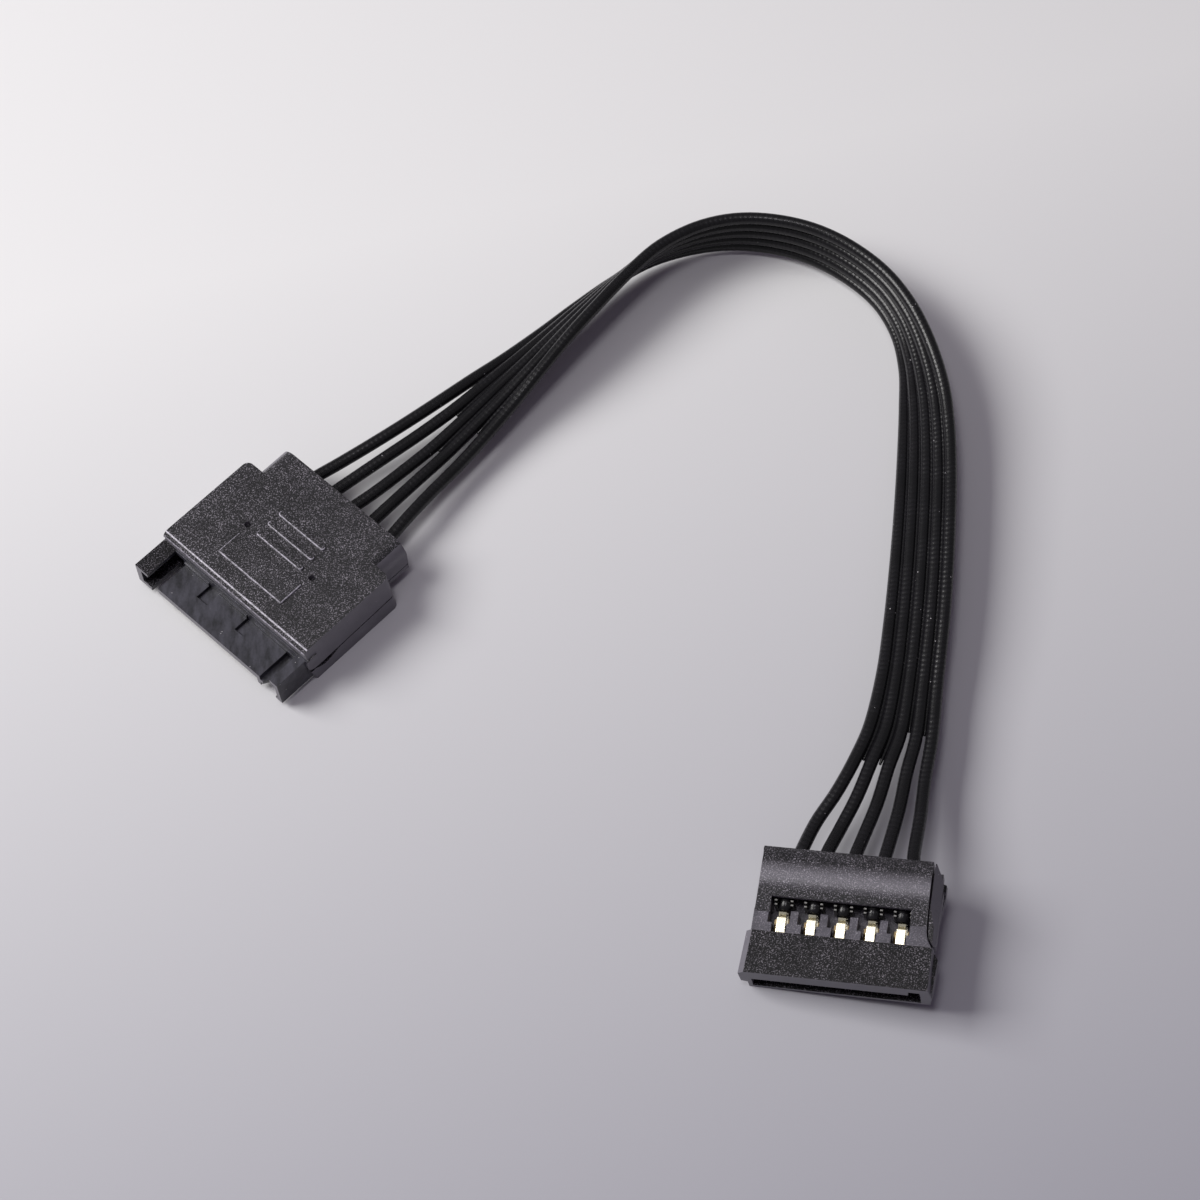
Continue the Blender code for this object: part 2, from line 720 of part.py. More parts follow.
def receptacle_terminal(circuit, frame, look):
    """Three spring fingers, the strip seen in the window and the fork for the wire."""
    middle = circuit_x(circuit)
    floor = BASE_TOP + GAP
    half_strip = STRIP_WIDTH / 2
    finger_low = FINGER_TOP - SHEET

    def strip(shape):
        outline = [
            (STRIP_FRONT, finger_low),
            (STRIP_FRONT + SHEET, finger_low),
            (STRIP_FRONT + SHEET, STRIP_TOP - SHEET),
            (STRIP_BACK - SHEET, STRIP_TOP - SHEET),
            (STRIP_BACK - SHEET, floor),
            (RECEPTACLE_FORK_Y + SHEET, floor),
            (RECEPTACLE_FORK_Y + SHEET, floor + SHEET),
            (STRIP_BACK, floor + SHEET),
            (STRIP_BACK, STRIP_TOP),
            (STRIP_FRONT, STRIP_TOP),
        ]
        add_prism(shape, outline, middle - half_strip, middle + half_strip, "X")

    def bar(shape):
        reach = CONTACT_PITCH + FINGER_WIDTH / 2
        add_box(shape, (middle - reach, middle + reach), (FINGER_ROOT, STRIP_FRONT + SHEET),
                (finger_low, FINGER_TOP))

    def fingers(shape):
        for contact in range(CONTACTS_EACH):
            centre = contact_x(circuit, contact)
            upper = [(y, FINGER_TOP - sag) for y, sag in FINGER_LINE]
            lower = [(y, finger_low - sag) for y, sag in reversed(FINGER_LINE)]
            add_prism(shape, upper + lower, centre - FINGER_WIDTH / 2, centre + FINGER_WIDTH / 2, "X")

    def fork(shape):
        outline = fork_outline(middle, floor, RECEPTACLE_FORK_TOP)
        add_prism(shape, outline, RECEPTACLE_FORK_Y, RECEPTACLE_FORK_Y + SHEET, "Y")

    terminal = mesh_object(f"female_terminal_{circuit + 1}", strip, frame)
    join(terminal, f"female_bar_{circuit + 1}", bar)
    join(terminal, f"female_fingers_{circuit + 1}", fingers)
    join(terminal, f"female_fork_{circuit + 1}", fork)
    terminal.data.materials.append(look)


def across_ribbon(before, after, lean):
    """The direction across the ribbon, from its first wire to its last."""
    heading = (after - before).normalized()
    flat = heading.cross(Vector((0, 0, 1))).normalized()
    upright = flat.cross(heading)
    angle = math.radians(lean)
    return flat * math.cos(angle) + upright * math.sin(angle)


def ribbon_points(circuit):
    """One wire's points along the ribbon."""
    middles = [Vector(station[:3]) for station in RIBBON]
    offset = circuit - (CIRCUITS - 1) / 2
    points = []
    for index, (x, y, z, lean, spacing) in enumerate(RIBBON):
        before = middles[max(index - 1, 0)]
        after = middles[min(index + 1, len(RIBBON) - 1)]
        points.append(Vector((x, y, z)) + across_ribbon(before, after, lean) * offset * spacing)
    return points


def smooth_route(points, step):
    """Points at even steps along a smooth curve through the given ones."""
    ends = [points[0] * 2 - points[1]] + points + [points[-1] * 2 - points[-2]]
    fine = []
    for index in range(1, len(ends) - 2):
        p0, p1, p2, p3 = ends[index - 1:index + 3]
        for part in range(16):
            t = part / 16
            fine.append(0.5 * (p1 * 2 + (p2 - p0) * t + (p0 * 2 - p1 * 5 + p2 * 4 - p3) * t * t
                               + (p1 * 3 - p0 - p2 * 3 + p3) * t ** 3))
    fine.append(points[-1])
    lengths = [0.0]
    for before, after in zip(fine, fine[1:]):
        lengths.append(lengths[-1] + (after - before).length)
    count = round(lengths[-1] / step)
    route = []
    spot = 0
    for index in range(count + 1):
        target = lengths[-1] * index / count
        while spot < len(lengths) - 2 and lengths[spot + 1] < target:
            spot += 1
        share = (target - lengths[spot]) / (lengths[spot + 1] - lengths[spot])
        route.append(fine[spot].lerp(fine[spot + 1], share))
    return route


def frame_matrix(place, turn):
    """A connector's frame as a matrix, in mm."""
    turned = Euler([math.radians(angle) for angle in turn]).to_matrix().to_4x4()
    return Matrix.Translation(place) @ turned


def wire_route(circuit):
    """One wire from its place in the plug to its place in the receptacle."""
    plug = frame_matrix(PLUG_AT, PLUG_TURN)
    receptacle = frame_matrix(RECEPTACLE_AT, RECEPTACLE_TURN)
    x = circuit_x(circuit)
    plug_exit = PLUG_LENGTH + COLLAR_LENGTH
    inside_plug = (PLUG_WIRE_START, 9, 13, 17, plug_exit)
    inside_receptacle = (COVER_REAR, 9, 6.3, RECEPTACLE_WIRE_END)
    start = [plug @ Vector((x, y, PLUG_WIRE_Z)) for y in inside_plug]
    end = [receptacle @ Vector((x, y, RECEPTACLE_WIRE_Z)) for y in inside_receptacle]
    return smooth_route(start + ribbon_points(circuit) + end, WIRE_STEP)


def wire(circuit, look):
    """One free wire, a plain tube with closed ends."""
    name = f"wire_{circuit + 1}"
    data = bpy.data.curves.new(name, "CURVE")
    data.dimensions = "3D"
    data.bevel_depth = WIRE_DIAMETER / 2 * MM
    data.bevel_resolution = 2
    data.use_fill_caps = True
    route = wire_route(circuit)
    line = data.splines.new("POLY")
    line.points.add(len(route) - 1)
    for point, place in zip(line.points, route):
        point.co = (*(place * MM), 1.0)
    data.materials.append(look)
    link(name, data)


def main():
    """Build the whole cable."""
    clear_scene()
    grained = material("grained_plastic", BLACK_PLASTIC)
    smooth = material("smooth_plastic", SMOOTH_PLASTIC)
    insert = material("insert_plastic", INSERT_PLASTIC)
    gold = material("gold_plate", GOLD_PLATE)
    jacket = material("wire_jacket", WIRE_JACKET)

    plug = empty("plug_frame", PLUG_AT, PLUG_TURN)
    plug_top_cover(plug, grained)
    plug_bottom_cover(plug, smooth)
    plug_insert(plug, insert)

    receptacle = empty("receptacle_frame", RECEPTACLE_AT, RECEPTACLE_TURN)
    receptacle_housing(receptacle, grained)
    receptacle_cover(receptacle, grained)

    for circuit in range(CIRCUITS):
        plug_terminal(circuit, plug, gold)
        receptacle_terminal(circuit, receptacle, gold)
        wire(circuit, jacket)


main()
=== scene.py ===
"""SATA power extension cable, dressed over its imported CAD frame.

Sizes are millimetres and MM turns them into metres. Each connector is modelled in its own
frame: x across, y from the mating side to the wires, z up. Its pieces are then set in place.
"""

import math

import bpy
from mathutils import Euler, Matrix, Vector


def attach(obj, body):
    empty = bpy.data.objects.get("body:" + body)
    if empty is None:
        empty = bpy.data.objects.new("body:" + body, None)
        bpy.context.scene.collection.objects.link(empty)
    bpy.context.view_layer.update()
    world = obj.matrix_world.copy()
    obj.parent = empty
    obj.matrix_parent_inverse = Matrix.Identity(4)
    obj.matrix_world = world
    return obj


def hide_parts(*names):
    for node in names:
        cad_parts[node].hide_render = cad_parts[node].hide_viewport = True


bl_info = {
    "name": "SATA power extension cable",
    "version": (1, 0, 0),
    "blender": (4, 5, 0),
    "location": "3D View > Sidebar > Cable",
    "description": "Builds the dressed connectors and bonded wires of a SATA power extension cable",
    "category": "Object",
}

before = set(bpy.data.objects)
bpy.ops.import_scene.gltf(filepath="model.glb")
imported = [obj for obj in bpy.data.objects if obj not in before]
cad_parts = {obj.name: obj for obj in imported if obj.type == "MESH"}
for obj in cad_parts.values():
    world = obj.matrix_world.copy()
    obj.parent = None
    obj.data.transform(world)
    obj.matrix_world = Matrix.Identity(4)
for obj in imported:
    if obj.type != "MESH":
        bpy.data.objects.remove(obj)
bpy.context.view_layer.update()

MM = 0.001
CIRCUITS = 5
WIRE_PITCH = 3.81
CONTACT_PITCH = 1.27

MIDDLE_WIRE = (CIRCUITS - 1) // 2

PLUG_AT = (-40.1, 19.4, 0.0)
PLUG_TURN = (0.0, 0.0, -45.0)
RECEPTACLE_AT = (39.3, -35.2, 7.12)
RECEPTACLE_TURN = (4.1, -7.2, -12.0)
PLUG_WIRE_Z = 3.8
PLUG_EXIT = 21.4
RECEPTACLE_WIRE_Z = -1.6
RECEPTACLE_EXIT = 11.6

# x, y, z of the ribbon's middle wire, its lean in degrees and the spacing of its wires
RIBBON = (
    (-20.9, 37.3, 3.9, 1, 3.26),
    (-17.0, 40.9, 3.9, -2, 2.84),
    (-12.7, 44.8, 3.9, -4, 2.48),
    (-8.4, 48.8, 4.1, -2, 2.16),
    (-3.9, 53.1, 4.4, 6, 1.89),
    (0.2, 57.1, 4.8, 22, 1.84),
    (5.3, 62.2, 5.2, 39, 1.84),
    (10.1, 67.0, 5.4, 49, 1.84),
    (15.3, 72.0, 5.4, 59, 1.84),
    (20.8, 76.2, 5.5, 69, 1.84),
    (27.5, 78.9, 5.5, 79, 1.84),
    (34.4, 79.5, 5.5, 85, 1.84),
    (41.7, 77.8, 5.5, 89, 1.84),
    (47.8, 74.3, 5.5, 92, 1.84),
    (53.1, 68.9, 5.5, 95, 1.84),
    (56.2, 62.8, 5.5, 102, 1.84),
    (57.7, 56.1, 5.4, 115, 1.84),
    (58.1, 48.9, 5.4, 134, 1.84),
    (57.8, 42.1, 5.4, 146, 1.84),
    (57.1, 34.9, 5.4, 154, 1.84),
    (56.1, 27.2, 5.5, 159, 1.84),
    (54.9, 19.1, 5.5, 165, 1.84),
    (53.6, 11.4, 5.4, 171, 1.84),
    (52.0, 3.3, 5.3, 180, 1.86),
    (50.1, -4.8, 5.3, 183, 2.10),
    (48.2, -10.3, 5.4, 182, 2.41),
    (46.4, -15.8, 5.6, 178, 2.83),
    (44.2, -20.6, 5.9, 172, 3.35),
)

# what each wire stands aside of its even place at some of the stations, in mm
FANNED = {
    0: (-0.6, -0.45, 0.12, 0.0, 0.1),
    1: (-0.4, -0.25, 0.32, 0.05, 0.1),
    2: (-0.3, -0.05, 0.34, 0.05, 0.15),
    3: (-0.25, 0.08, 0.18, 0.0, 0.15),
    4: (-0.2, 0.0, 0.0, 0.0, 0.1),
    25: (0.0, -0.25, -0.3, -0.2, -0.1),
    26: (-0.4, -0.5, -0.5, -0.35, -0.25),
    27: (-0.45, -0.45, -0.5, -0.3, -0.2),
}
RECEPTACLE_ASIDE = (0.9, 0.45, 0.4, 0.45, 0.45)


# The plug
SHELL_HALF = 14.2
SHELL_REAR = 16.4
SHELL_TOP = 7.6
UPPER_LOW = 2.5
LOWER_TOP = 2.3
FRONT_CHAMFER = 0.58
COLLAR_ACROSS = (-12.4, 12.4)
COLLAR_ALONG = (15.2, PLUG_EXIT)
HOLLOW_ACROSS = (-12.9, 12.9)
HOLLOW_ALONG = (1.3, 14.8)
RIB_ROWS = (9.1, 11.25, 13.4)
RIB_WIDTH = 0.86
PIN_HOLE_AT = (6.45, 9.05)
TONGUE_HALF = 10.285
TONGUE_LOW = 2.25
TONGUE_TOP = 3.48
KEY_WIDTH = 0.68
INSERT_FRONT = -5.33
ARM_ROOT = 0.65
ARM_TOP = 5.26
NOTCHES = ((-5.35, -3.3), (2.33, 4.0))
LINE_WIDTH = 0.2

# The receptacle
BLOCK_FRONT = -5.85
BLOCK_LOW = -5.28
CAP_LOW = -3.0
GROOVE_WIDTH = 0.94
FINGER_WIDTH = 0.6
FORK_THICKNESS = 0.2

# The ribbon, its webs and its curve
BONDED_WITHIN = 2.4
WEB_RADIUS = 0.42
WEB_TAPER = 5
ROUTE_STEP = 1.2
CURVE_PARTS = 16
END_SHARE = 0.7

# Meshes
ROD_SIDES = 32
MERGED_WITHIN = 0.002
SHARP_FROM = 32

# The camera, in mm and degrees
CAMERA_AT = (10.44, -176.39, 339.56)
CAMERA_TILT = 30.083
CAMERA_ROLL = -2.277
CAMERA_LENS = 84.0
CAMERA_SENSOR = 36.0

# Each lamp's name, place and side in mm, power and colour
LAMPS = (
    ("key", (-690, 145, 630), 500, 9.75, (1.0, 0.985, 0.97)),
    ("overhead", (-80, -100, 720), 140, 0.8, (0.98, 0.95, 1.0)),
    ("ceiling", (-70, 150, 700), 300, 0.2, (1.0, 0.98, 0.95)),
)
LAMPS_AIM = (0, 10, 0)
TABLE_SIDE = 6000


def frame_matrix(place, turn):
    """A connector's frame, in metres."""
    turned = Euler([math.radians(angle) for angle in turn]).to_matrix().to_4x4()
    return Matrix.Translation(Vector(place) * MM) @ turned


PLUG = frame_matrix(PLUG_AT, PLUG_TURN)
RECEPTACLE = frame_matrix(RECEPTACLE_AT, RECEPTACLE_TURN)


def seat_x(circuit):
    """The x of one circuit's contact in the receptacle, where the seats spread a little."""
    return wire_x(circuit) * 1.016 - 0.03


def wire_x(circuit):
    """The x of one circuit's wire in its connector."""
    return (circuit - MIDDLE_WIRE) * WIRE_PITCH


# Materials


class Value:
    """A socket that takes part in arithmetic."""

    def __init__(self, network, socket):
        self.network = network
        self.socket = socket

    def maths(self, operation, first, second):
        return self.network.node("ShaderNodeMath", {"operation": operation}, {0: first, 1: second})

    def __add__(self, other):
        return self.maths("ADD", self, other)

    __radd__ = __add__

    def __sub__(self, other):
        return self.maths("SUBTRACT", self, other)

    def __rsub__(self, other):
        return self.maths("SUBTRACT", other, self)

    def __mul__(self, other):
        return self.maths("MULTIPLY", self, other)

    __rmul__ = __mul__

    def __gt__(self, other):
        return self.maths("GREATER_THAN", self, other)


class Network:
    """The nodes of a material or of the world."""

    def __init__(self, owner):
        owner.use_nodes = True
        self.nodes = owner.node_tree.nodes
        self.links = owner.node_tree.links

    def connect(self, socket, value):
        """Set or link a socket."""
        if isinstance(value, Value):
            self.links.new(value.socket, socket)
        else:
            socket.default_value = value

    def node(self, kind, settings=None, sockets=None, out=0):
        """Any node: its type, its settings, its sockets' values or links, and the output taken."""
        made = self.nodes.new(kind)
        for name, value in (settings or {}).items():
            setattr(made, name, value)
        for name, value in (sockets or {}).items():
            self.connect(made.inputs[name], value)
        return Value(self, made.outputs[out])


class Finish(Network):
    """A procedural material on the Principled shader."""

    def __init__(self, name, colour, roughness, metallic=0.0, specular=0.5):
        self.material = bpy.data.materials.new(name)
        super().__init__(self.material)
        self.colour = colour
        self.put("Base Color", (*colour, 1.0))
        self.put("Roughness", roughness)
        self.put("Metallic", metallic)
        self.put("Specular IOR Level", specular)
        self.place = self.node("ShaderNodeTexCoord", out="Object")

    def put(self, name, value):
        """Set or link one of the shader's sockets."""
        self.connect(self.nodes["Principled BSDF"].inputs[name], value)

    def noise(self, size_mm, detail=2.0, rough=0.5, place=None):
        """Noise whose blotches are about this size."""
        return self.node("ShaderNodeTexNoise", {}, {
            "Vector": place or self.place, "Scale": 1 / (size_mm * MM), "Detail": detail,
            "Roughness": rough})

    def cells(self, size_mm):
        """The distance to the nearest of points spaced about this far apart."""
        return self.node("ShaderNodeTexVoronoi", {}, {
            "Vector": self.place, "Scale": 1 / (size_mm * MM)}, "Distance")

    def blend(self, share, low, high):
        """A colour between two, by a share from 0 to 1."""
        return self.node("ShaderNodeMix", {"data_type": "RGBA"}, {0: share, 6: low, 7: high}, 2)

    def shades(self, share, dark, light):
        """The material's colour times a dark or a light factor."""
        return self.blend(share, (*(c * dark for c in self.colour), 1.0),
                          (*(min(1.0, c * light) for c in self.colour), 1.0))

    def ramp(self, value, low, high):
        """The value spread so that low gives 0 and high gives 1."""
        return self.node("ShaderNodeMapRange", {"clamp": True}, {
            "Value": value, "From Min": low, "From Max": high, "To Min": 0.0, "To Max": 1.0})

    def bump(self, height, depth_mm, strength=1.0):
        """Relief of this depth."""
        return self.node("ShaderNodeBump", {}, {
            "Height": height, "Distance": depth_mm * MM, "Strength": strength})


def dust(finish, colour, size_mm, spacing_mm, amount):
    """Sparse pale specks over a colour."""
    near = finish.cells(spacing_mm)
    speck = finish.ramp(near, size_mm / spacing_mm, size_mm / spacing_mm * 0.6)
    keep = finish.noise(spacing_mm * 2.7, 1.0) > 0.52
    return finish.blend(speck * keep * amount, colour, (0.62, 0.60, 0.62, 1.0))


def grained_plastic(name="grained_black", lift=1.0, painted_glints=1.0, specular=0.5, painted_sheen=False):
    """Black moulding with a spark-eroded grain, painted glints on it as highlights, and a pale painted sheen
    along a crest if asked.
    """
    made = Finish(name, tuple(level * lift for level in sizes().plastic_colour), 0.5, specular=specular)
    size = sizes().grain
    grain = made.noise(size, 2.0, 0.6)
    pits = made.cells(size * 1.4)
    patches = made.noise(3.5, 3.0)
    tone = made.shades(made.ramp(patches, 0.3, 0.7) * 0.6 + grain * 0.4, 0.45, 1.35)
    # painted sheen: a pale band in the colour along the cap's crest, standing in for the lamp's reflection
    # there
    if painted_sheen:
        rearward = RECEPTACLE.to_3x3() @ Vector((0, 1, 0))
        along = made.node("ShaderNodeVectorMath", {"operation": "DOT_PRODUCT"},
                          {0: made.place, 1: rearward}, "Value") - RECEPTACLE.translation.dot(rearward)
        sheen_band = made.ramp(along, 5.6 * MM, 7.1 * MM) * made.ramp(along, 9.6 * MM, 7.9 * MM)
        tone = made.blend(sheen_band * (grain * 0.9 + 0.35), tone, (0.13, 0.122, 0.145, 1.0))
    # painted highlights: the grain's high spots are coloured pale, as glints of light on the grain
    painted_glint = made.ramp(grain, 0.555, 0.65)
    shown = made.ramp(patches, 0.2, 0.72) * (0.75 * painted_glints) + 0.25 * painted_glints
    tone = made.blend(painted_glint * shown, tone, (0.34, 0.32, 0.36, 1.0))
    made.put("Base Color", dust(made, tone, 0.08, 1.7, 0.5))
    made.put("Roughness", 0.36 - made.ramp(grain, 0.4, 0.7) * 0.12)
    made.put("Normal", made.bump(grain * 0.75 + pits * 0.25, size * 0.28, 1.0))
    return made.material


def sheened_smooth_plastic():
    """Black moulding straight from a polished cavity, its pale colour a painted sheen standing in for
    reflections on the sides.
    """
    made = Finish("smooth_black_painted_sheen", sizes().smooth_sheen_colour, 0.4)
    patches = made.noise(2.6, 3.0)
    haze = made.noise(0.35, 3.0, 0.6)
    # painted sheen: the pale colour stands in for the reflections that brighten the sides
    made.put("Base Color", dust(made, made.shades(patches * 0.6 + haze * 0.4, 0.7, 1.4), 0.06, 1.3, 0.7))
    made.put("Roughness", 0.26 + patches * 0.12 + haze * 0.08)
    made.put("Normal", made.bump(haze, 0.012, 0.5))
    return made.material


def edge_highlight_plastic():
    """Black moulding with a painted highlight along an edge, pale and patchy."""
    made = Finish("black_painted_highlight", sizes().smooth_sheen_colour, 0.3)
    highlight_patches = made.noise(0.5, 3.0, 0.6)
    # painted highlight: the colour is lifted up to 3.6 times, as light caught along the edges
    made.put("Base Color", made.shades(made.ramp(highlight_patches, 0.35, 0.65), 0.8, 3.6))
    made.put("Roughness", 0.22 + highlight_patches * 0.16)
    return made.material


def insert_plastic():
    """Bluish black moulding of the tongue, with faint flow marks."""
    made = Finish("insert_black", sizes().insert_colour, 0.4)
    stretched = made.node("ShaderNodeMapping", {}, {
        "Vector": made.place, "Rotation": (0.0, 0.0, math.radians(45.0)), "Scale": (1.0, 0.3, 1.0)})
    flow = made.noise(1.1, 4.0, 0.6, stretched)
    haze = made.noise(0.3, 2.0)
    tone = made.shades(made.ramp(flow, 0.36, 0.64) * 0.6 + haze * 0.4, 0.2, 2.1)
    made.put("Base Color", dust(made, tone, 0.07, 1.1, 0.8))
    made.put("Roughness", 0.28 + flow * 0.16)
    made.put("Normal", made.bump(flow * 0.6 + haze * 0.4, 0.025, 0.6))
    return made.material


def gold_plate():
    """Bright plating on bent sheet."""
    made = Finish("gold", sizes().gold_colour, 0.25, 1.0)
    patches = made.noise(0.8, 3.0)
    lines = made.noise(0.09, 2.0)
    made.put("Base Color", made.shades(patches * 0.8 + lines * 0.2, 0.88, 1.06))
    made.put("Roughness", 0.24 + patches * 0.06)
    return made.material


def tin_plate():
    """Duller grey plating of the forks' tips."""
    made = Finish("tin", (0.22, 0.215, 0.21), 0.4, 1.0)
    patches = made.noise(0.3, 2.0)
    made.put("Base Color", made.shades(patches, 0.55, 1.3))
    made.put("Roughness", 0.32 + patches * 0.2)
    return made.material


def brown_plate():
    """Brown, shaded plating on the folded flanks of a contact."""
    made = Finish("brown_gold", (0.20, 0.15, 0.085), 0.4, 1.0)
    patches = made.noise(0.4, 2.0)
    made.put("Base Color", made.shades(patches, 0.6, 1.5))
    made.put("Roughness", 0.34 + patches * 0.16)
    return made.material


def wire_jacket():
    """Satin black jacket, faintly ribbed across its length, the ribs also painted paler as highlights, with
    dust on it.
    """
    made = Finish("jacket", sizes().wire_colour, 0.3, specular=0.32)
    along = made.node("ShaderNodeUVMap", {"uv_map": "route"})
    parts = made.node("ShaderNodeSeparateXYZ", {}, {0: along}, "Y")
    wander = made.noise(1.1, 2.0)
    turns = parts * (2 * math.pi / sizes().ripple) + wander * 1.6
    ribs_and_sheen = made.node("ShaderNodeMath", {"operation": "SINE"}, {0: turns}) * 0.5 + 0.5
    fade = made.ramp(made.noise(4.0, 2.0), 0.35, 0.62)
    haze = made.noise(0.16, 3.0, 0.6)
    # painted highlights: the ribs lighten the colour as well as shaping the relief
    tone = made.shades(haze * 0.5 + ribs_and_sheen * fade * 0.5, 0.5, 1.9)
    made.put("Base Color", dust(made, tone, 0.09, 1.5, 0.85))
    made.put("Roughness", 0.2 + haze * 0.14)
    made.put("Normal", made.bump(ribs_and_sheen * fade * 0.7 + haze * 0.3, 0.035, 0.8))
    return made.material


def table_top():
    """The pale table, brighter towards the light."""
    made = Finish("table", sizes().table_colour, 0.85, specular=0.2)
    across = made.node("ShaderNodeSeparateXYZ", {}, {0: made.place}, "X")
    depth = made.node("ShaderNodeSeparateXYZ", {}, {0: made.place}, "Y")
    away = made.ramp(across * 0.22 - depth, -0.09, 0.11)
    fade = made.blend(away, (*sizes().table_colour, 1.0), (*sizes().table_shade, 1.0))
    made.put("Base Color", fade)
    made.put("Normal", made.bump(made.noise(0.5, 2.0), 0.01, 0.2))
    return made.material


LOOKS = {}
MAKERS = {
    "grained": grained_plastic,
    "pale grained": lambda: grained_plastic("grained_pale", lift=7.0, painted_glints=0.8),
    "grained with painted sheen": lambda: grained_plastic("grained_painted_sheen", painted_sheen=True),
    "dark grained": lambda: grained_plastic("grained_dark", lift=0.5, painted_glints=0.75, specular=0.2),
    "smooth": sheened_smooth_plastic,
    "painted highlight": edge_highlight_plastic,
    "insert": insert_plastic,
    "gold": gold_plate,
    "tin": tin_plate,
    "brown": brown_plate,
    "jacket": wire_jacket,
    "table": table_top,
}


def look(name):
    """A material, made once."""
    if name not in LOOKS:
        LOOKS[name] = MAKERS[name]()
    return LOOKS[name]


# Modelling helpers


def clear_choice():
    """Leave edit mode and select nothing."""
    if bpy.context.object is not None and bpy.context.object.mode != "OBJECT":
        bpy.ops.object.mode_set(mode="OBJECT")
    bpy.ops.object.select_all(action="DESELECT")


def leave_edit():
    """Back to object mode."""
    bpy.ops.object.mode_set(mode="OBJECT")


def hold(made):
    """Make this object the only one selected."""
    clear_choice()
    made.select_set(True)
    bpy.context.view_layer.objects.active = made


def edit_all(made):
    """Enter edit mode with the whole mesh selected."""
    hold(made)
    bpy.ops.object.mode_set(mode="EDIT")
    bpy.ops.mesh.select_all(action="SELECT")


def edit_none(made, kind):
    """Leave nothing selected in the mesh, ready to pick elements of this kind."""
    hold(made)
    bpy.ops.object.mode_set(mode="EDIT")
    bpy.ops.mesh.select_mode(type=kind)
    bpy.ops.mesh.select_all(action="DESELECT")
    leave_edit()


def box(name, x, y, z):
    """A block between two values along each axis."""
    clear_choice()
    size = [(pair[1] - pair[0]) * MM for pair in (x, y, z)]
    middle = [(pair[1] + pair[0]) / 2 * MM for pair in (x, y, z)]
    bpy.ops.mesh.primitive_cube_add(size=1, location=middle, scale=size)
    made = bpy.context.object
    made.name = name
    bpy.ops.object.transform_apply()
    return made


def rod(name, middle, radius, length, axis):
    """A round bar centred here, along an axis."""
    clear_choice()
    turn = {"Y": (math.pi / 2, 0, 0), "Z": (0, 0, 0)}[axis]
    bpy.ops.mesh.primitive_cylinder_add(vertices=ROD_SIDES, radius=radius * MM, depth=length * MM,
                                        location=Vector(middle) * MM, rotation=turn)
    made = bpy.context.object
    made.name = name
    bpy.ops.object.transform_apply()
    return made


def profile(name, outline, axis, low, high):
    """A filled ring with its corners set to the outline, extruded along an axis."""
    clear_choice()
    bpy.ops.mesh.primitive_circle_add(vertices=len(outline), radius=MM, fill_type="NGON")
    made = bpy.context.object
    made.name = name
    index = "XYZ".index(axis)
    for vertex, corner in zip(made.data.vertices, outline):
        vertex.co = Vector((*corner[:index], low, *corner[index:])) * MM
    step = Vector([(high - low) * MM * (axis == letter) for letter in "XYZ"])
    edit_all(made)
    bpy.ops.mesh.extrude_region_move(TRANSFORM_OT_translate={"value": step})
    bpy.ops.mesh.select_all(action="SELECT")
    bpy.ops.mesh.normals_make_consistent(inside=False)
    leave_edit()
    return made


def near(value, target):
    """Whether a value is the target, within a hundredth of a millimetre."""
    return abs(value - target) < 0.01


def on_line(a, b, y, z):
    """Whether an edge lies across the connector at this y and z."""
    return all(near(end.y, y) and near(end.z, z) for end in (a, b))


def round_edges(made, width, segments, test):
    """Bevel the edges whose two ends pass the test, given in mm."""
    edit_none(made, "EDGE")
    places = [vertex.co / MM for vertex in made.data.vertices]
    for edge in made.data.edges:
        first, second = (places[index] for index in edge.vertices)
        edge.select = test(first, second)
    bpy.ops.object.mode_set(mode="EDIT")
    bpy.ops.mesh.bevel(offset=width * MM, segments=segments, affect="EDGES", clamp_overlap=True)
    leave_edit()


def round_along(made, axis, width, segments, test=lambda middle: True):
    """Bevel the edges that run along an axis and whose middle passes the test."""
    index = "XYZ".index(axis)
    others = [letter for letter in range(3) if letter != index]
    round_edges(made, width, segments,
                lambda a, b: all(near(a[i], b[i]) for i in others) and test((a + b) / 2))


def shift_points(made, by, test):
    """Move the vertices that pass the test, all in mm."""
    edit_none(made, "VERT")
    for vertex in made.data.vertices:
        vertex.select = test(vertex.co / MM)
    bpy.ops.object.mode_set(mode="EDIT")
    bpy.ops.transform.translate(value=Vector(by) * MM)
    leave_edit()


def apply_last(made):
    """Apply the newest modifier."""
    hold(made)
    bpy.ops.object.modifier_apply(modifier=made.modifiers[-1].name)


def fuse(made, tool, operation="UNION"):
    """Join a helper on, or cut it away, and drop it."""
    step = made.modifiers.new("fuse", "BOOLEAN")
    step.object = tool
    step.operation = operation
    step.solver = "EXACT"
    apply_last(made)
    bpy.data.objects.remove(tool, do_unlink=True)


def carve(made, tool):
    """Cut a helper away."""
    fuse(made, tool, "DIFFERENCE")


def ease(made, width, segments=3, angle=35):
    """Round every sharp edge, once flat faces that a cut left split are whole again."""
    edit_all(made)
    bpy.ops.mesh.remove_doubles(threshold=MERGED_WITHIN * MM)
    bpy.ops.mesh.dissolve_limited(angle_limit=math.radians(1.0))
    leave_edit()
    step = made.modifiers.new("ease", "BEVEL")
    step.width = width * MM
    step.segments = segments
    step.limit_method = "ANGLE"
    step.angle_limit = math.radians(angle)
    step.miter_outer = "MITER_ARC"
    step.use_clamp_overlap = True
    apply_last(made)


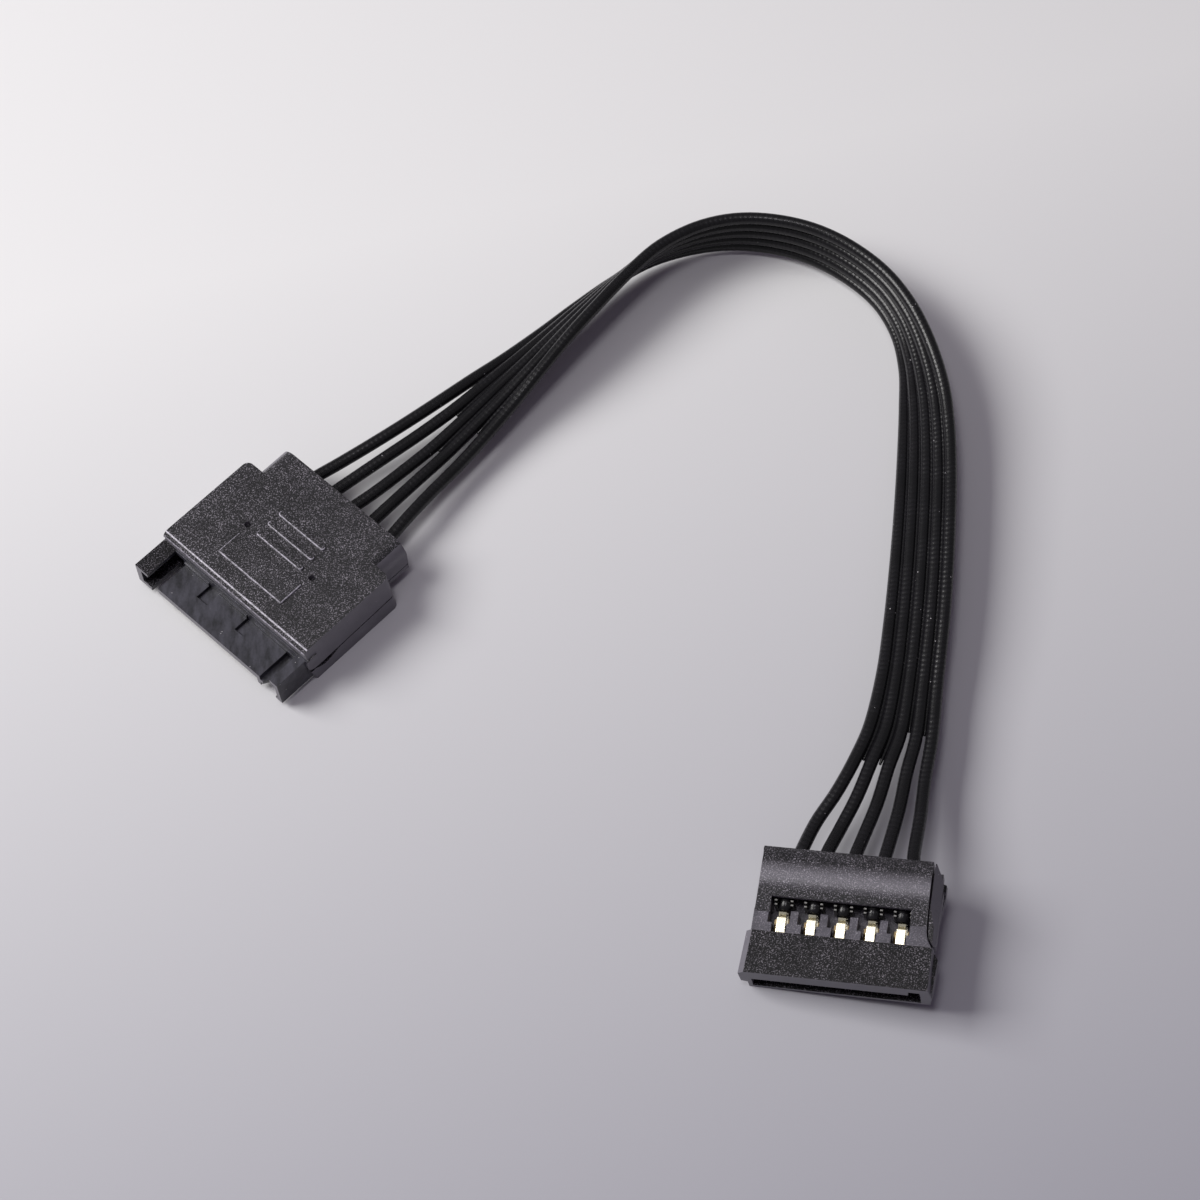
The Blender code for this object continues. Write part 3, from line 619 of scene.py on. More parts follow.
def tidy_mesh(made):
    """Merge doubled corners and shade the piece."""
    edit_all(made)
    bpy.ops.mesh.remove_doubles(threshold=MERGED_WITHIN * MM)
    bpy.ops.mesh.normals_make_consistent(inside=False)
    leave_edit()
    bpy.ops.object.shade_smooth_by_angle(angle=math.radians(SHARP_FROM))
    step = made.modifiers.new("flats", "WEIGHTED_NORMAL")
    step.keep_sharp = True
    apply_last(made)


def settle(made, place, looks, nodes, choose):
    """Place a finished piece, give its faces their looks, and let it ride and replace its nodes."""
    tidy_mesh(made)
    for name in looks:
        made.data.materials.append(look(name))
    for face in made.data.polygons:
        face.material_index = choose(face)
    made.matrix_world = place
    hold(made)
    bpy.ops.object.transform_apply()
    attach(made, "root")
    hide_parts(*nodes)


def flare(made, level, out, back, rise=0.0):
    """Spread the corners at one level to both sides and to the rear, and lift the rear ones."""
    for side in (-1, 1):
        shift_points(made, (side * out, 0, 0), lambda place: near(place.z, level) and place.x * side > 10)
    shift_points(made, (0, back, rise), lambda place: near(place.z, level) and place.y > 14)
    cut_to_triangles(made)


def cut_to_triangles(made):
    """Split bent faces, so that every face is flat again."""
    edit_all(made)
    bpy.ops.mesh.quads_convert_to_tris()
    leave_edit()


def top_or_side(face):
    """Grain on the faces that look up or down, a polished side with its painted sheen elsewhere."""
    return 0 if abs(face.normal.z) > 0.8 else 1


def plug_top_faces(face):
    """Painted highlights on the edges of the front, the ribs and the plate that face the light; grain and
    polished sides with their painted sheen elsewhere.
    """
    x, y, _ = face.center / MM
    if abs(x) > 14.1 or y > 14.5:
        return top_or_side(face)
    if y < 0.9:
        if 0.73 < face.normal.z < 0.99 or 0.15 < face.normal.z < 0.68:
            return 2
        return 0 if face.normal.z > 0.65 else 1
    lit = face.normal.y < 0.3 and 0.2 < face.normal.z < 0.97 and face.center.z > 7.5 * MM
    return 2 if lit else top_or_side(face)


def insert_faces(face):
    """Grain on the arms, a paler front edge on the tongue from the side plastic's painted sheen, a painted
    highlight on the ridge at its root.
    """
    x, y, z = face.center / MM
    if abs(x) > 11.0 and face.normal.z > 0.8:
        return 1
    if y < -5 and face.normal.y < -0.8:
        return 2
    return 3 if -0.4 < y < 0.2 and z > 3.6 and 0.2 < face.normal.z < 0.9 else 0


def contact_faces(face, x):
    """Grey forks, bright strips and tabs, brown flanks beside them."""
    place = face.center / MM
    if place.y > 3.6:
        return 1
    return 2 if place.y > 0 and not x - 0.59 < place.x < x + 0.8 else 0


def cap_faces(face):
    """Grain on the cap; the skirt is polished with a painted sheen, dark on top."""
    if face.center.x < 11.0 * MM:
        return top_or_side(face)
    return 2 if face.normal.z > 0.7 else 1


def housing_faces(face):
    """Dark grain on the front block's top, a pale floor between the windows."""
    if face.normal.z < 0.8:
        return 1
    return 2 if face.center.y > 0.06 * MM else 3


# Routes


def across_ribbon(before, after, lean):
    """The direction across the ribbon, from its first wire to its last."""
    heading = (after - before).normalized()
    flat = heading.cross(Vector((0, 0, 1))).normalized()
    upright = flat.cross(heading)
    angle = math.radians(lean)
    return flat * math.cos(angle) + upright * math.sin(angle)


def even_route(points, step):
    """Points at even steps along a smooth curve through the given ones."""
    ends = [points[0] * 2 - points[1]] + points + [points[-1] * 2 - points[-2]]
    fine = []
    for index in range(1, len(ends) - 2):
        p0, p1, p2, p3 = ends[index - 1:index + 3]
        for part in range(CURVE_PARTS):
            t = part / CURVE_PARTS
            fine.append(0.5 * (p1 * 2 + (p2 - p0) * t + (p0 * 2 - p1 * 5 + p2 * 4 - p3) * t * t
                               + (p1 * 3 - p0 - p2 * 3 + p3) * t ** 3))
    fine.append(points[-1])
    lengths = [0.0]
    for before, after in zip(fine, fine[1:]):
        lengths.append(lengths[-1] + (after - before).length)
    count = round(lengths[-1] / step)
    route = []
    spot = 0
    for index in range(count + 1):
        target = lengths[-1] * index / count
        while spot < len(lengths) - 2 and lengths[spot + 1] < target:
            spot += 1
        share = (target - lengths[spot]) / (lengths[spot + 1] - lengths[spot])
        route.append(fine[spot].lerp(fine[spot + 1], share))
    return route


def between_wires(values, offset):
    """The value at an offset counted in wires from the middle one."""
    place = offset + MIDDLE_WIRE
    low = min(int(place), CIRCUITS - 2)
    share = place - low
    return values[low] * (1 - share) + values[low + 1] * share


def wire_stations(offset):
    """A wire's points in metres, its offset counted in wires from the ribbon's middle."""
    middles = [Vector(station[:3]) for station in RIBBON]
    ribbon = []
    for index, (x, y, z, lean, spacing) in enumerate(RIBBON):
        before = middles[max(index - 1, 0)]
        after = middles[min(index + 1, len(RIBBON) - 1)]
        aside = offset * spacing + between_wires(FANNED.get(index, (0,) * CIRCUITS), offset)
        ribbon.append((Vector((x, y, z)) + across_ribbon(before, after, lean) * aside) * MM)
    x = offset * WIRE_PITCH
    start = [PLUG @ (Vector((x + aside, y, PLUG_WIRE_Z)) * MM)
             for y, aside in ((5.2, 0), (9, 0), (13, 0), (17, 0.1), (PLUG_EXIT, 0.35))]
    end = [RECEPTACLE @ (Vector((x + aside, y, RECEPTACLE_WIRE_Z)) * MM)
           for y, aside in ((RECEPTACLE_EXIT, between_wires(RECEPTACLE_ASIDE, offset)), (9, 0.2),
                            (6.3, 0), (3.4, 0))]
    return start, ribbon, end


def tube(name, route, radii, sides=20, cap=0.35):
    """A closed mesh tube along a route, with its turn and its length in mm as its UV map."""
    rings = []
    aside = None
    length = 0.0
    for index, place in enumerate(route):
        before = route[max(index - 1, 0)]
        after = route[min(index + 1, len(route) - 1)]
        heading = (after - before).normalized()
        if aside is None:
            aside = heading.orthogonal()
        aside = (aside - heading * aside.dot(heading)).normalized()
        up = heading.cross(aside)
        length += (place - before).length
        rings.append((place, aside.copy(), up, radii[index], length, heading))
    for spot, outward, ring in ((0, -cap, rings[0]), (len(rings) + 1, cap, rings[-1])):
        place, aside, up, radius, length, heading = ring
        tip = place + heading * radius * outward
        rings.insert(spot, (tip, aside, up, radius * END_SHARE, length, heading))
    points, faces, marks = [], [], []
    for place, aside, up, radius, _, _ in rings:
        for side in range(sides):
            angle = 2 * math.pi * side / sides
            points.append(place + (aside * math.cos(angle) + up * math.sin(angle)) * radius)
    for ring in range(len(rings) - 1):
        low, high = rings[ring][4] / MM, rings[ring + 1][4] / MM
        for side in range(sides):
            after = (side + 1) % sides
            faces.append((ring * sides + side, ring * sides + after,
                          (ring + 1) * sides + after, (ring + 1) * sides + side))
            turn, next_turn = side / sides, (side + 1) / sides
            marks += [(turn, low), (next_turn, low), (next_turn, high), (turn, high)]
    faces.append(tuple(reversed(range(sides))))
    marks += [(side / sides, 0.0) for side in range(sides)]
    faces.append(tuple((len(rings) - 1) * sides + side for side in range(sides)))
    marks += [(side / sides, rings[-1][4] / MM) for side in range(sides)]
    data = bpy.data.meshes.new(name)
    data.from_pydata([tuple(point) for point in points], [], faces)
    layer = data.uv_layers.new(name="route")
    for loop, mark in zip(layer.data, marks):
        loop.uv = mark
    made = bpy.data.objects.new(name, data)
    bpy.context.scene.collection.objects.link(made)
    edit_all(made)
    bpy.ops.mesh.normals_make_consistent(inside=False)
    leave_edit()
    bpy.ops.object.shade_smooth()
    return made


# Sizes and colours a user would change


class CableSizes(bpy.types.PropertyGroup):
    """Sizes in millimetres and colours."""

    wire_diameter: bpy.props.FloatProperty(
        name="Wire diameter", description="Outside of a jacket, in mm", default=1.8, min=0.5, max=3.0)
    edge_round: bpy.props.FloatProperty(
        name="Edge rounding", description="Radius of the mouldings' edges, in mm",
        default=0.22, min=0.02, max=0.5)
    grain: bpy.props.FloatProperty(
        name="Grain", description="Size of the mouldings' grain, in mm", default=0.17, min=0.05, max=1.0)
    ripple: bpy.props.FloatProperty(
        name="Ripple", description="Spacing of the jacket's faint ribs, in mm",
        default=0.76, min=0.2, max=3.0)
    plastic_colour: bpy.props.FloatVectorProperty(
        name="Plastic", description="Colour of the shells", subtype="COLOR", default=(0.012, 0.0113, 0.0138))
    # painted sheen: this pale grey stands in for reflections on the sides of a black moulding
    smooth_sheen_colour: bpy.props.FloatVectorProperty(
        name="Smooth plastic", description="Colour of the shells' sides", subtype="COLOR",
        default=(0.125, 0.119, 0.138))
    insert_colour: bpy.props.FloatVectorProperty(
        name="Insert", description="Colour of the tongue", subtype="COLOR", default=(0.029, 0.0285, 0.037))
    wire_colour: bpy.props.FloatVectorProperty(
        name="Jacket", description="Colour of the wires", subtype="COLOR", default=(0.006, 0.0056, 0.007))
    gold_colour: bpy.props.FloatVectorProperty(
        name="Gold", description="Colour of the contacts", subtype="COLOR", default=(0.96, 0.89, 0.70))
    table_colour: bpy.props.FloatVectorProperty(
        name="Table", description="Colour of the table", subtype="COLOR", default=(0.785, 0.79, 0.785))
    table_shade: bpy.props.FloatVectorProperty(
        name="Table, far corner", description="Colour away from the light", subtype="COLOR",
        default=(0.338, 0.338, 0.385))


def sizes():
    """The scene's sizes and colours."""
    return bpy.context.scene.cable_sizes


# Operators


class CABLE_OT_stage(bpy.types.Operator):
    """Set up the table, the soft studio light and the camera"""

    bl_idname = "cable.stage"
    bl_label = "Stage"

    def execute(self, context):
        clear_choice()
        tilt = Matrix.Rotation(math.radians(CAMERA_TILT), 4, "X")
        roll = Matrix.Rotation(math.radians(CAMERA_ROLL), 4, "Z")
        bpy.ops.object.camera_add()
        camera = context.object
        camera.name = "photo_camera"
        camera.matrix_world = Matrix.Translation(Vector(CAMERA_AT) * MM) @ tilt @ roll
        camera.data.lens = CAMERA_LENS
        camera.data.sensor_width = CAMERA_SENSOR
        camera.data.clip_start = 0.01
        context.scene.camera = camera

        clear_choice()
        bpy.ops.mesh.primitive_plane_add(size=TABLE_SIDE * MM)
        table = context.object
        table.name = "table"
        table.data.materials.append(look("table"))

        for settings in LAMPS:
            self.lamp(*settings)
        self.backdrop(context)
        context.scene.view_settings.view_transform = "Standard"
        return {"FINISHED"}

    def lamp(self, name, place, size, power, colour):
        """A soft square lamp that looks at the middle of the cable."""
        clear_choice()
        turn = (Vector(LAMPS_AIM) - Vector(place)).to_track_quat("-Z", "Y").to_euler()
        bpy.ops.object.light_add(type="AREA", location=Vector(place) * MM, rotation=turn)
        made = bpy.context.object
        made.name = name
        made.data.shape = "SQUARE"
        made.data.size = size * MM
        made.data.energy = power
        made.data.color = colour

    def backdrop(self, context):
        """A faintly purple fill, seen as pale by the camera and by glossy surfaces."""
        world = bpy.data.worlds.new("studio")
        context.scene.world = world
        network = Network(world)
        fill = network.nodes["Background"]
        network.connect(fill.inputs["Color"], (0.89, 0.75, 1.0, 1.0))
        network.connect(fill.inputs["Strength"], 0.13)
        seen = network.node("ShaderNodeLightPath", out="Is Camera Ray")
        mirrored = network.node("ShaderNodeLightPath", out="Is Glossy Ray")
        shown = network.node("ShaderNodeBackground", {}, {
            "Color": (0.90, 0.90, 0.92, 1.0), "Strength": seen * 0.55 + 0.25})
        either = network.node("ShaderNodeMath", {"operation": "MAXIMUM"}, {0: seen, 1: mirrored})
        mix = network.node("ShaderNodeMixShader", {}, {
            0: either, 1: Value(network, fill.outputs[0]), 2: shown})
        network.connect(network.nodes["World Output"].inputs["Surface"], mix)


class CABLE_OT_wires(bpy.types.Operator):
    """Run the five wires and the thin webs that bond them into a ribbon"""

    bl_idname = "cable.wires"
    bl_label = "Wires"

    def execute(self, context):
        radius = sizes().wire_diameter / 2 * MM
        jacket = look("jacket")
        webs = self.webs(jacket)
        for circuit in range(CIRCUITS):
            start, ribbon, end = wire_stations(circuit - MIDDLE_WIRE)
            route = even_route(start + ribbon + end, ROUTE_STEP * MM)
            made = tube(f"jacket_{circuit + 1}", route, [radius] * len(route), cap=0.12)
            made.data.materials.append(jacket)
            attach(made, "root")
            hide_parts(f"wire_{circuit + 1}")
            length = sum((b - a).length for a, b in zip(route, route[1:]))
        return {"FINISHED"}

    def webs(self, jacket):
        """The thin strip of jacket left between each two neighbours."""
        made = []
        for pair in range(CIRCUITS - 1):
            left, middle, right = (wire_stations(pair - MIDDLE_WIRE + share)[1] for share in (0, 0.5, 1))
            joined = [place for place, a, b in zip(middle, left, right)
                      if (a - b).length < BONDED_WITHIN * MM]
            route = even_route(joined, ROUTE_STEP * MM)
            radii = [WEB_RADIUS * MM * min(1.0, (min(index, len(route) - 1 - index) + 1) / WEB_TAPER) ** 0.5
                     for index in range(len(route))]
            web = tube(f"web_{pair + 1}", route, radii, 10)
            web.data.materials.append(jacket)
            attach(web, "root")
            made.append(web)
        return made


class CABLE_OT_plug_top(bpy.types.Operator):
    """Model the plug's grained upper shell with its collar, ribs and plain plate"""

    bl_idname = "cable.plug_top"
    bl_label = "Plug, upper shell"

    def execute(self, context):
        shell = box("plug_upper_shell", (-SHELL_HALF, SHELL_HALF), (0, SHELL_REAR), (UPPER_LOW, SHELL_TOP))
        round_along(shell, "Z", 1.0, 6, lambda middle: near(middle.y, SHELL_REAR))
        round_edges(shell, FRONT_CHAMFER, 1, lambda a, b: on_line(a, b, 0, SHELL_TOP))
        round_edges(shell, 0.14, 2, lambda a, b: on_line(a, b, FRONT_CHAMFER, SHELL_TOP)
                    or on_line(a, b, 0, SHELL_TOP - FRONT_CHAMFER))
        flare(shell, UPPER_LOW, 0.4, 0.3, 0.56)
        collar = box("collar", COLLAR_ACROSS, COLLAR_ALONG, (3.02, SHELL_TOP))
        round_along(collar, "Y", 2.6, 10, lambda middle: near(middle.z, SHELL_TOP))
        fuse(shell, collar)
        carve(shell, box("hollow", HOLLOW_ACROSS, HOLLOW_ALONG, (1.5, 6.3)))
        carve(shell, box("mouth", (-15.2, 15.2), (-1.0, 1.6), (1.5, 5.42)))
        carve(shell, box("lip", (-15.2, 15.2), (-1.0, 0.2), (5.0, 6.78)))
        for side in (-1, 1):
            across = sorted((side * 14.0, side * 14.58))
            fuse(shell, profile("ear", [
                (1.8, 5.6), (0.6, 5.5), (0.12, 5.15), (-0.06, 4.6), (-0.06, 3.8), (0.08, 3.3),
                (0.4, 2.9), (0.9, 2.62), (1.8, 2.55)], "X", *across))
        for circuit in range(CIRCUITS):
            x = wire_x(circuit) + 0.2
            carve(shell, rod("channel", (x, 18.5, PLUG_WIRE_Z), 1.2, 8.0, "Y"))
            carve(shell, box("channel", (x - 1.2, x + 1.2), (14.5, 22.5), (1.5, PLUG_WIRE_Z)))
        ease(shell, sizes().edge_round)
        for row in RIB_ROWS:
            along = (row - RIB_WIDTH / 2, row + RIB_WIDTH / 2)
            self.raise_pad(shell, (-4.5, 4.5), along, 0.28, (0.42, 6), 0.2)
        self.raise_pad(shell, (-6.3, 6.3), (3.2, 7.3), 0.24, (0.2, 3), 0.18)
        for side in (-1, 1):
            carve(shell, rod("pin_hole", (side * PIN_HOLE_AT[0], PIN_HOLE_AT[1], SHELL_TOP), 0.5, 1.8, "Z"))
        settle(shell, PLUG, ["grained", "smooth", "painted highlight"], ["male_top_cover"],
               plug_top_faces)
        return {"FINISHED"}

    def raise_pad(self, shell, across, along, rise, corners, edge):
        """Raise a low pad off the shell's top, with round corners and a soft edge."""
        top = SHELL_TOP + rise
        pad = box("pad", across, along, (SHELL_TOP - 0.3, top))
        round_along(pad, "Z", *corners)
        round_edges(pad, edge, 2, lambda a, b: near(a.z, top) and near(b.z, top))
        fuse(shell, pad)


class CABLE_OT_plug_bottom(bpy.types.Operator):
    """Model the plug's shallow lower shell"""

    bl_idname = "cable.plug_bottom"
    bl_label = "Plug, lower shell"

    def execute(self, context):
        shell = box("plug_lower_shell", (-14.6, 14.6), (0.3, 16.5), (0, LOWER_TOP))
        round_along(shell, "Z", 1.0, 6, lambda middle: middle.y > 16)
        flare(shell, LOWER_TOP, 0, 0.15, 0.52)
        flare(shell, 0, 0.2, 0.4)
        shift_points(shell, (0, 0.7, 0), lambda place: near(place.z, 0) and place.y < 1)
        cut_to_triangles(shell)
        fuse(shell, box("collar", COLLAR_ACROSS, COLLAR_ALONG, (1.95, 2.88)))
        carve(shell, box("tray", HOLLOW_ACROSS, HOLLOW_ALONG, (1.08, 3.5)))
        carve(shell, box("mouth", (-13.9, 13.9), (-1.0, 1.6), (1.1, 3.5)))
        for side in (-1, 1):
            across = sorted((side * 13.4, side * 15.4))
            carve(shell, profile("gap", [
                (1.1, 2.6), (1.3, 2.3), (2.2, 1.85), (3.0, 1.62), (3.7, 1.78), (5.4, 2.35), (6.4, 2.6),
                (6.4, 3.0), (1.1, 3.0)], "X", *across))
        ease(shell, sizes().edge_round)
        settle(shell, PLUG, ["grained", "smooth"], ["male_bottom_cover"], top_or_side)
        return {"FINISHED"}


class CABLE_OT_plug_insert(bpy.types.Operator):
    """Model the tongue, its key, the guide arms and the flange"""

    bl_idname = "cable.plug_insert"
    bl_label = "Plug, insert"

    def execute(self, context):
        insert = box("plug_insert", (-14.4, 14.4), (0, 1.3), (1.23, ARM_TOP))
        carve(insert, box("left_pocket", (-13.55, -10.6), (-1, 2.3), (2.08, 4.41)))
        carve(insert, box("right_pocket", (10.6, 12.6), (-1, 2.3), (2.08, 4.41)))
        arms_along = (INSERT_FRONT, ARM_ROOT)
        fuse(insert, box("tongue", (-TONGUE_HALF, TONGUE_HALF), arms_along, (TONGUE_LOW, TONGUE_TOP)))
        fuse(insert, box("key", (TONGUE_HALF - KEY_WIDTH, TONGUE_HALF), arms_along, (1.05, 2.3)))
        fuse(insert, profile("hook_arm", [
            (-14.6, 1.2), (-11.9, 1.2), (-11.9, 2.08), (-13.55, 2.08),
            (-13.55, 4.6), (-12.05, 4.6), (-12.05, ARM_TOP), (-14.6, ARM_TOP)], "Y", *arms_along))
        fuse(insert, profile("plain_arm", [
            (13.2, 0.95), (14.45, 0.95), (14.05, ARM_TOP), (12.55, ARM_TOP), (12.55, 4.55), (13.45, 4.3),
            (13.55, 1.55), (13.2, 1.4)], "Y", *arms_along))
        fuse(insert, profile("step", [
            (10.2, INSERT_FRONT), (10.8, INSERT_FRONT), (11.35, -4.3), (11.35, ARM_ROOT),
            (10.2, ARM_ROOT)], "Z", 1.9, 2.62))
        fuse(insert, box("root", (-10.3, 12.5), (-0.2, 0.4), (3.3, 4.15)))
        front = -2.5
        for low, high in NOTCHES:
            carve(insert, box("notch", (low, high), (front, 0.0), (2.98, 4.4)))
            carve(insert, box("line", (low, low + LINE_WIDTH), (front, 0.0), (2.7, 4.4)))
            carve(insert, box("line", (low, high), (front, front + LINE_WIDTH), (2.7, 4.4)))
        reach = WIRE_PITCH * CIRCUITS / 2
        carve(insert, box("blade_way", (-reach, reach), (-1, 2.3), (0, TONGUE_LOW)))
        ease(insert, 0.13)
        fuse(insert, box("floor", (-12.6, 12.6), (ARM_ROOT, 13.0), (TONGUE_LOW, 2.65)))
        cradle = box("cradle", (-12.6, 12.6), (8.5, 13.0), (2.45, 3.5))
        for circuit in range(CIRCUITS):
            carve(cradle, rod("groove", (wire_x(circuit), 10.7, PLUG_WIRE_Z), 1.1, 6.0, "Y"))
        fuse(insert, cradle)
        carve(insert, box("fork_way", (-reach, reach), (6.3, 7.15), (1.25, 3.8)))
        settle(insert, PLUG, ["insert", "dark grained", "smooth", "painted highlight"], ["male_insert"],
               insert_faces)
        return {"FINISHED"}


class CABLE_OT_plug_blades(bpy.types.Operator):
    """Give the plug's blades and forks their plating"""

    bl_idname = "cable.plug_blades"
    bl_label = "Plug, blades"

    def execute(self, context):
        for circuit in range(CIRCUITS):
            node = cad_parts[f"male_terminal_{circuit + 1}"]
            node.data.materials.clear()
            node.data.materials.append(look("gold"))
        return {"FINISHED"}


class CABLE_OT_receptacle_housing(bpy.types.Operator):
    """Model the receptacle's front block with its slot, windowed floor and base"""

    bl_idname = "cable.receptacle_housing"
    bl_label = "Receptacle, housing"

    def execute(self, context):
        housing = profile("receptacle_housing", [
            (-11.65, 0), (11.95, 0), (12.1, -0.6), (12.4, -3.0), (12.1, BLOCK_LOW),
            (-11.4, BLOCK_LOW), (-11.45, -3.65), (-12.3, -3.4), (-12.45, -0.75)], "Y", BLOCK_FRONT, 0)
        shift_points(housing, (0.35, 0, 0), lambda place: near(place.y, 0) and place.x < -11)
        shift_points(housing, (-0.3, 0, 0), lambda place: near(place.y, 0) and place.x > 12.3)
        cut_to_triangles(housing)
        fuse(housing, profile("rail", [
            (11.8, -5.4), (12.4, -5.4), (12.66, -0.95), (12.18, -0.2), (11.8, -0.2)], "Z", -4.3, -1.9))
        step = profile("step", [
            (-11.5, -1), (11.7, -1), (11.7, 0.2), (11.3, 0.85), (11.05, 1.5), (10.92, 2.3), (10.9, 3.2),
            (-11.5, 3.2)], "Z", -5.2, -0.3)
        shift_points(step, (0, 0, -0.3), lambda place: place.z > -1 and place.y > 3)
        fuse(housing, step)
        fuse(housing, box("base", (-11.7, 12), (2, 11.3), (BLOCK_LOW, -3.3)))
        fuse(housing, profile("catch", [
            (11.5, 4.4), (12.1, 4.6), (12.6, 8.1), (12.55, 8.9), (11.5, 9.3)], "Z", -5.0, -3.32))
        carve(housing, box("slot", (-10.85, 10.95), (BLOCK_FRONT - 1, -0.55), (-4.8, -2.45)))
        carve(housing, box("keyway", (9.4, 10.9), (BLOCK_FRONT - 1, -0.6), (-2.6, -1.3)))
        ease(housing, 0.16)
        for circuit in range(CIRCUITS):
            x = seat_x(circuit)
            carve(housing, profile("window", [
                (x - 1.2, 0.12), (x + 0.75, 0.12), (x + 0.75, 1.4), (x + 1.08, 1.4),
                (x + 1.08, 4.2), (x - 1.8, 4.2), (x - 1.8, 1.4), (x - 1.2, 1.4)],
                "Z", -3.2, 1.0))
            for contact in (-1, 0, 1):
                middle = wire_x(circuit) + contact * CONTACT_PITCH
                across = (middle - GROOVE_WIDTH / 2, middle + GROOVE_WIDTH / 2)
                carve(housing, box("groove", across, (-5.25, -0.3), (-2.5, -1.6)))
        settle(housing, RECEPTACLE, ["grained", "smooth", "pale grained", "dark grained"],
               ["female_housing"], housing_faces)
        return {"FINISHED"}


class CABLE_OT_receptacle_cap(bpy.types.Operator):
    """Model the rounded cap over the forks, with its skirts and latches"""

    bl_idname = "cable.receptacle_cap"
    bl_label = "Receptacle, cap"

    def execute(self, context):
        crown = [(6.2, 0.9), (6.6, 1.02), (7.2, 1.14), (7.9, 1.2), (8.6, 1.22), (9.3, 1.13), (9.9, 0.97),
                 (10.5, 0.76), (11.1, 0.45), (RECEPTACLE_EXIT, 0.1)]
        cap = profile("receptacle_cap", [(2.8, -0.56)] + crown + [
            (RECEPTACLE_EXIT, CAP_LOW), (3.5, CAP_LOW), (3.5, -0.66)], "X", -11.45, 10.9)
        for low, high, aside in ((0.5, 2, 0.34), (0, 0.5, 0.18), (-4, -2, -0.35)):
            shift_points(cap, (aside, 0, 0), lambda place: place.x < -11 and low < place.z < high)
        carve(cap, box("opening", (-9.4, 8.75), (0, 4.78), (-4, 3)))
        carve(cap, box("hollow", (-9.7, 9.2), (4.7, 9.3), (-4, -0.2)))
        for circuit in range(CIRCUITS):
            x = wire_x(circuit) + 0.3
            carve(cap, rod("channel", (x, 10.5, RECEPTACLE_WIRE_Z), 1.3, 4.4, "Y"))
            carve(cap, box("channel", (x - 1.3, x + 1.3), (8.3, 12.7), (-4, RECEPTACLE_WIRE_Z)))
        ease(cap, 0.12, 3, 25)
        skirt = profile("skirt", [
            (11.15, 11.3), (11.12, 2.6), (11.18, 1.95), (11.38, 1.3), (11.7, 0.75), (12.0, 0.35),
            (12.2, 0.5), (12.3, 2.0), (12.3, 4.4), (12.42, 7.8), (12.35, 9.1), (11.85, 10.3), (11.3, 11.3)],
            "Z", CAP_LOW, 0.9)
        carve(skirt, profile("slope", [
            (-1, -0.42), (2.7, -0.42), (6.3, 0.75), (9.5, 0.7), (12.5, -0.1), (12.5, 3), (-1, 3)],
            "X", 10.5, 13.5))
        carve(skirt, profile("lean", [
            (11.0, 0.62), (12.35, -1.15), (13.5, -1.15), (13.5, 2.5), (11.0, 2.5)], "Y", -1, 12.5))
        ease(skirt, 0.1)
        fuse(skirt, box("bridge", (10.6, 11.6), (3.7, 10.4), (-2.9, -1.0)))
        fuse(skirt, profile("latch", [
            (12.1, -2.9), (12.75, -2.6), (12.7, -1.7), (12.1, -1.2)], "Y", 8.2, 9.2))
        fuse(cap, skirt)
        settle(cap, RECEPTACLE, ["grained with painted sheen", "smooth", "dark grained"], ["female_cover"],
               cap_faces)
        return {"FINISHED"}


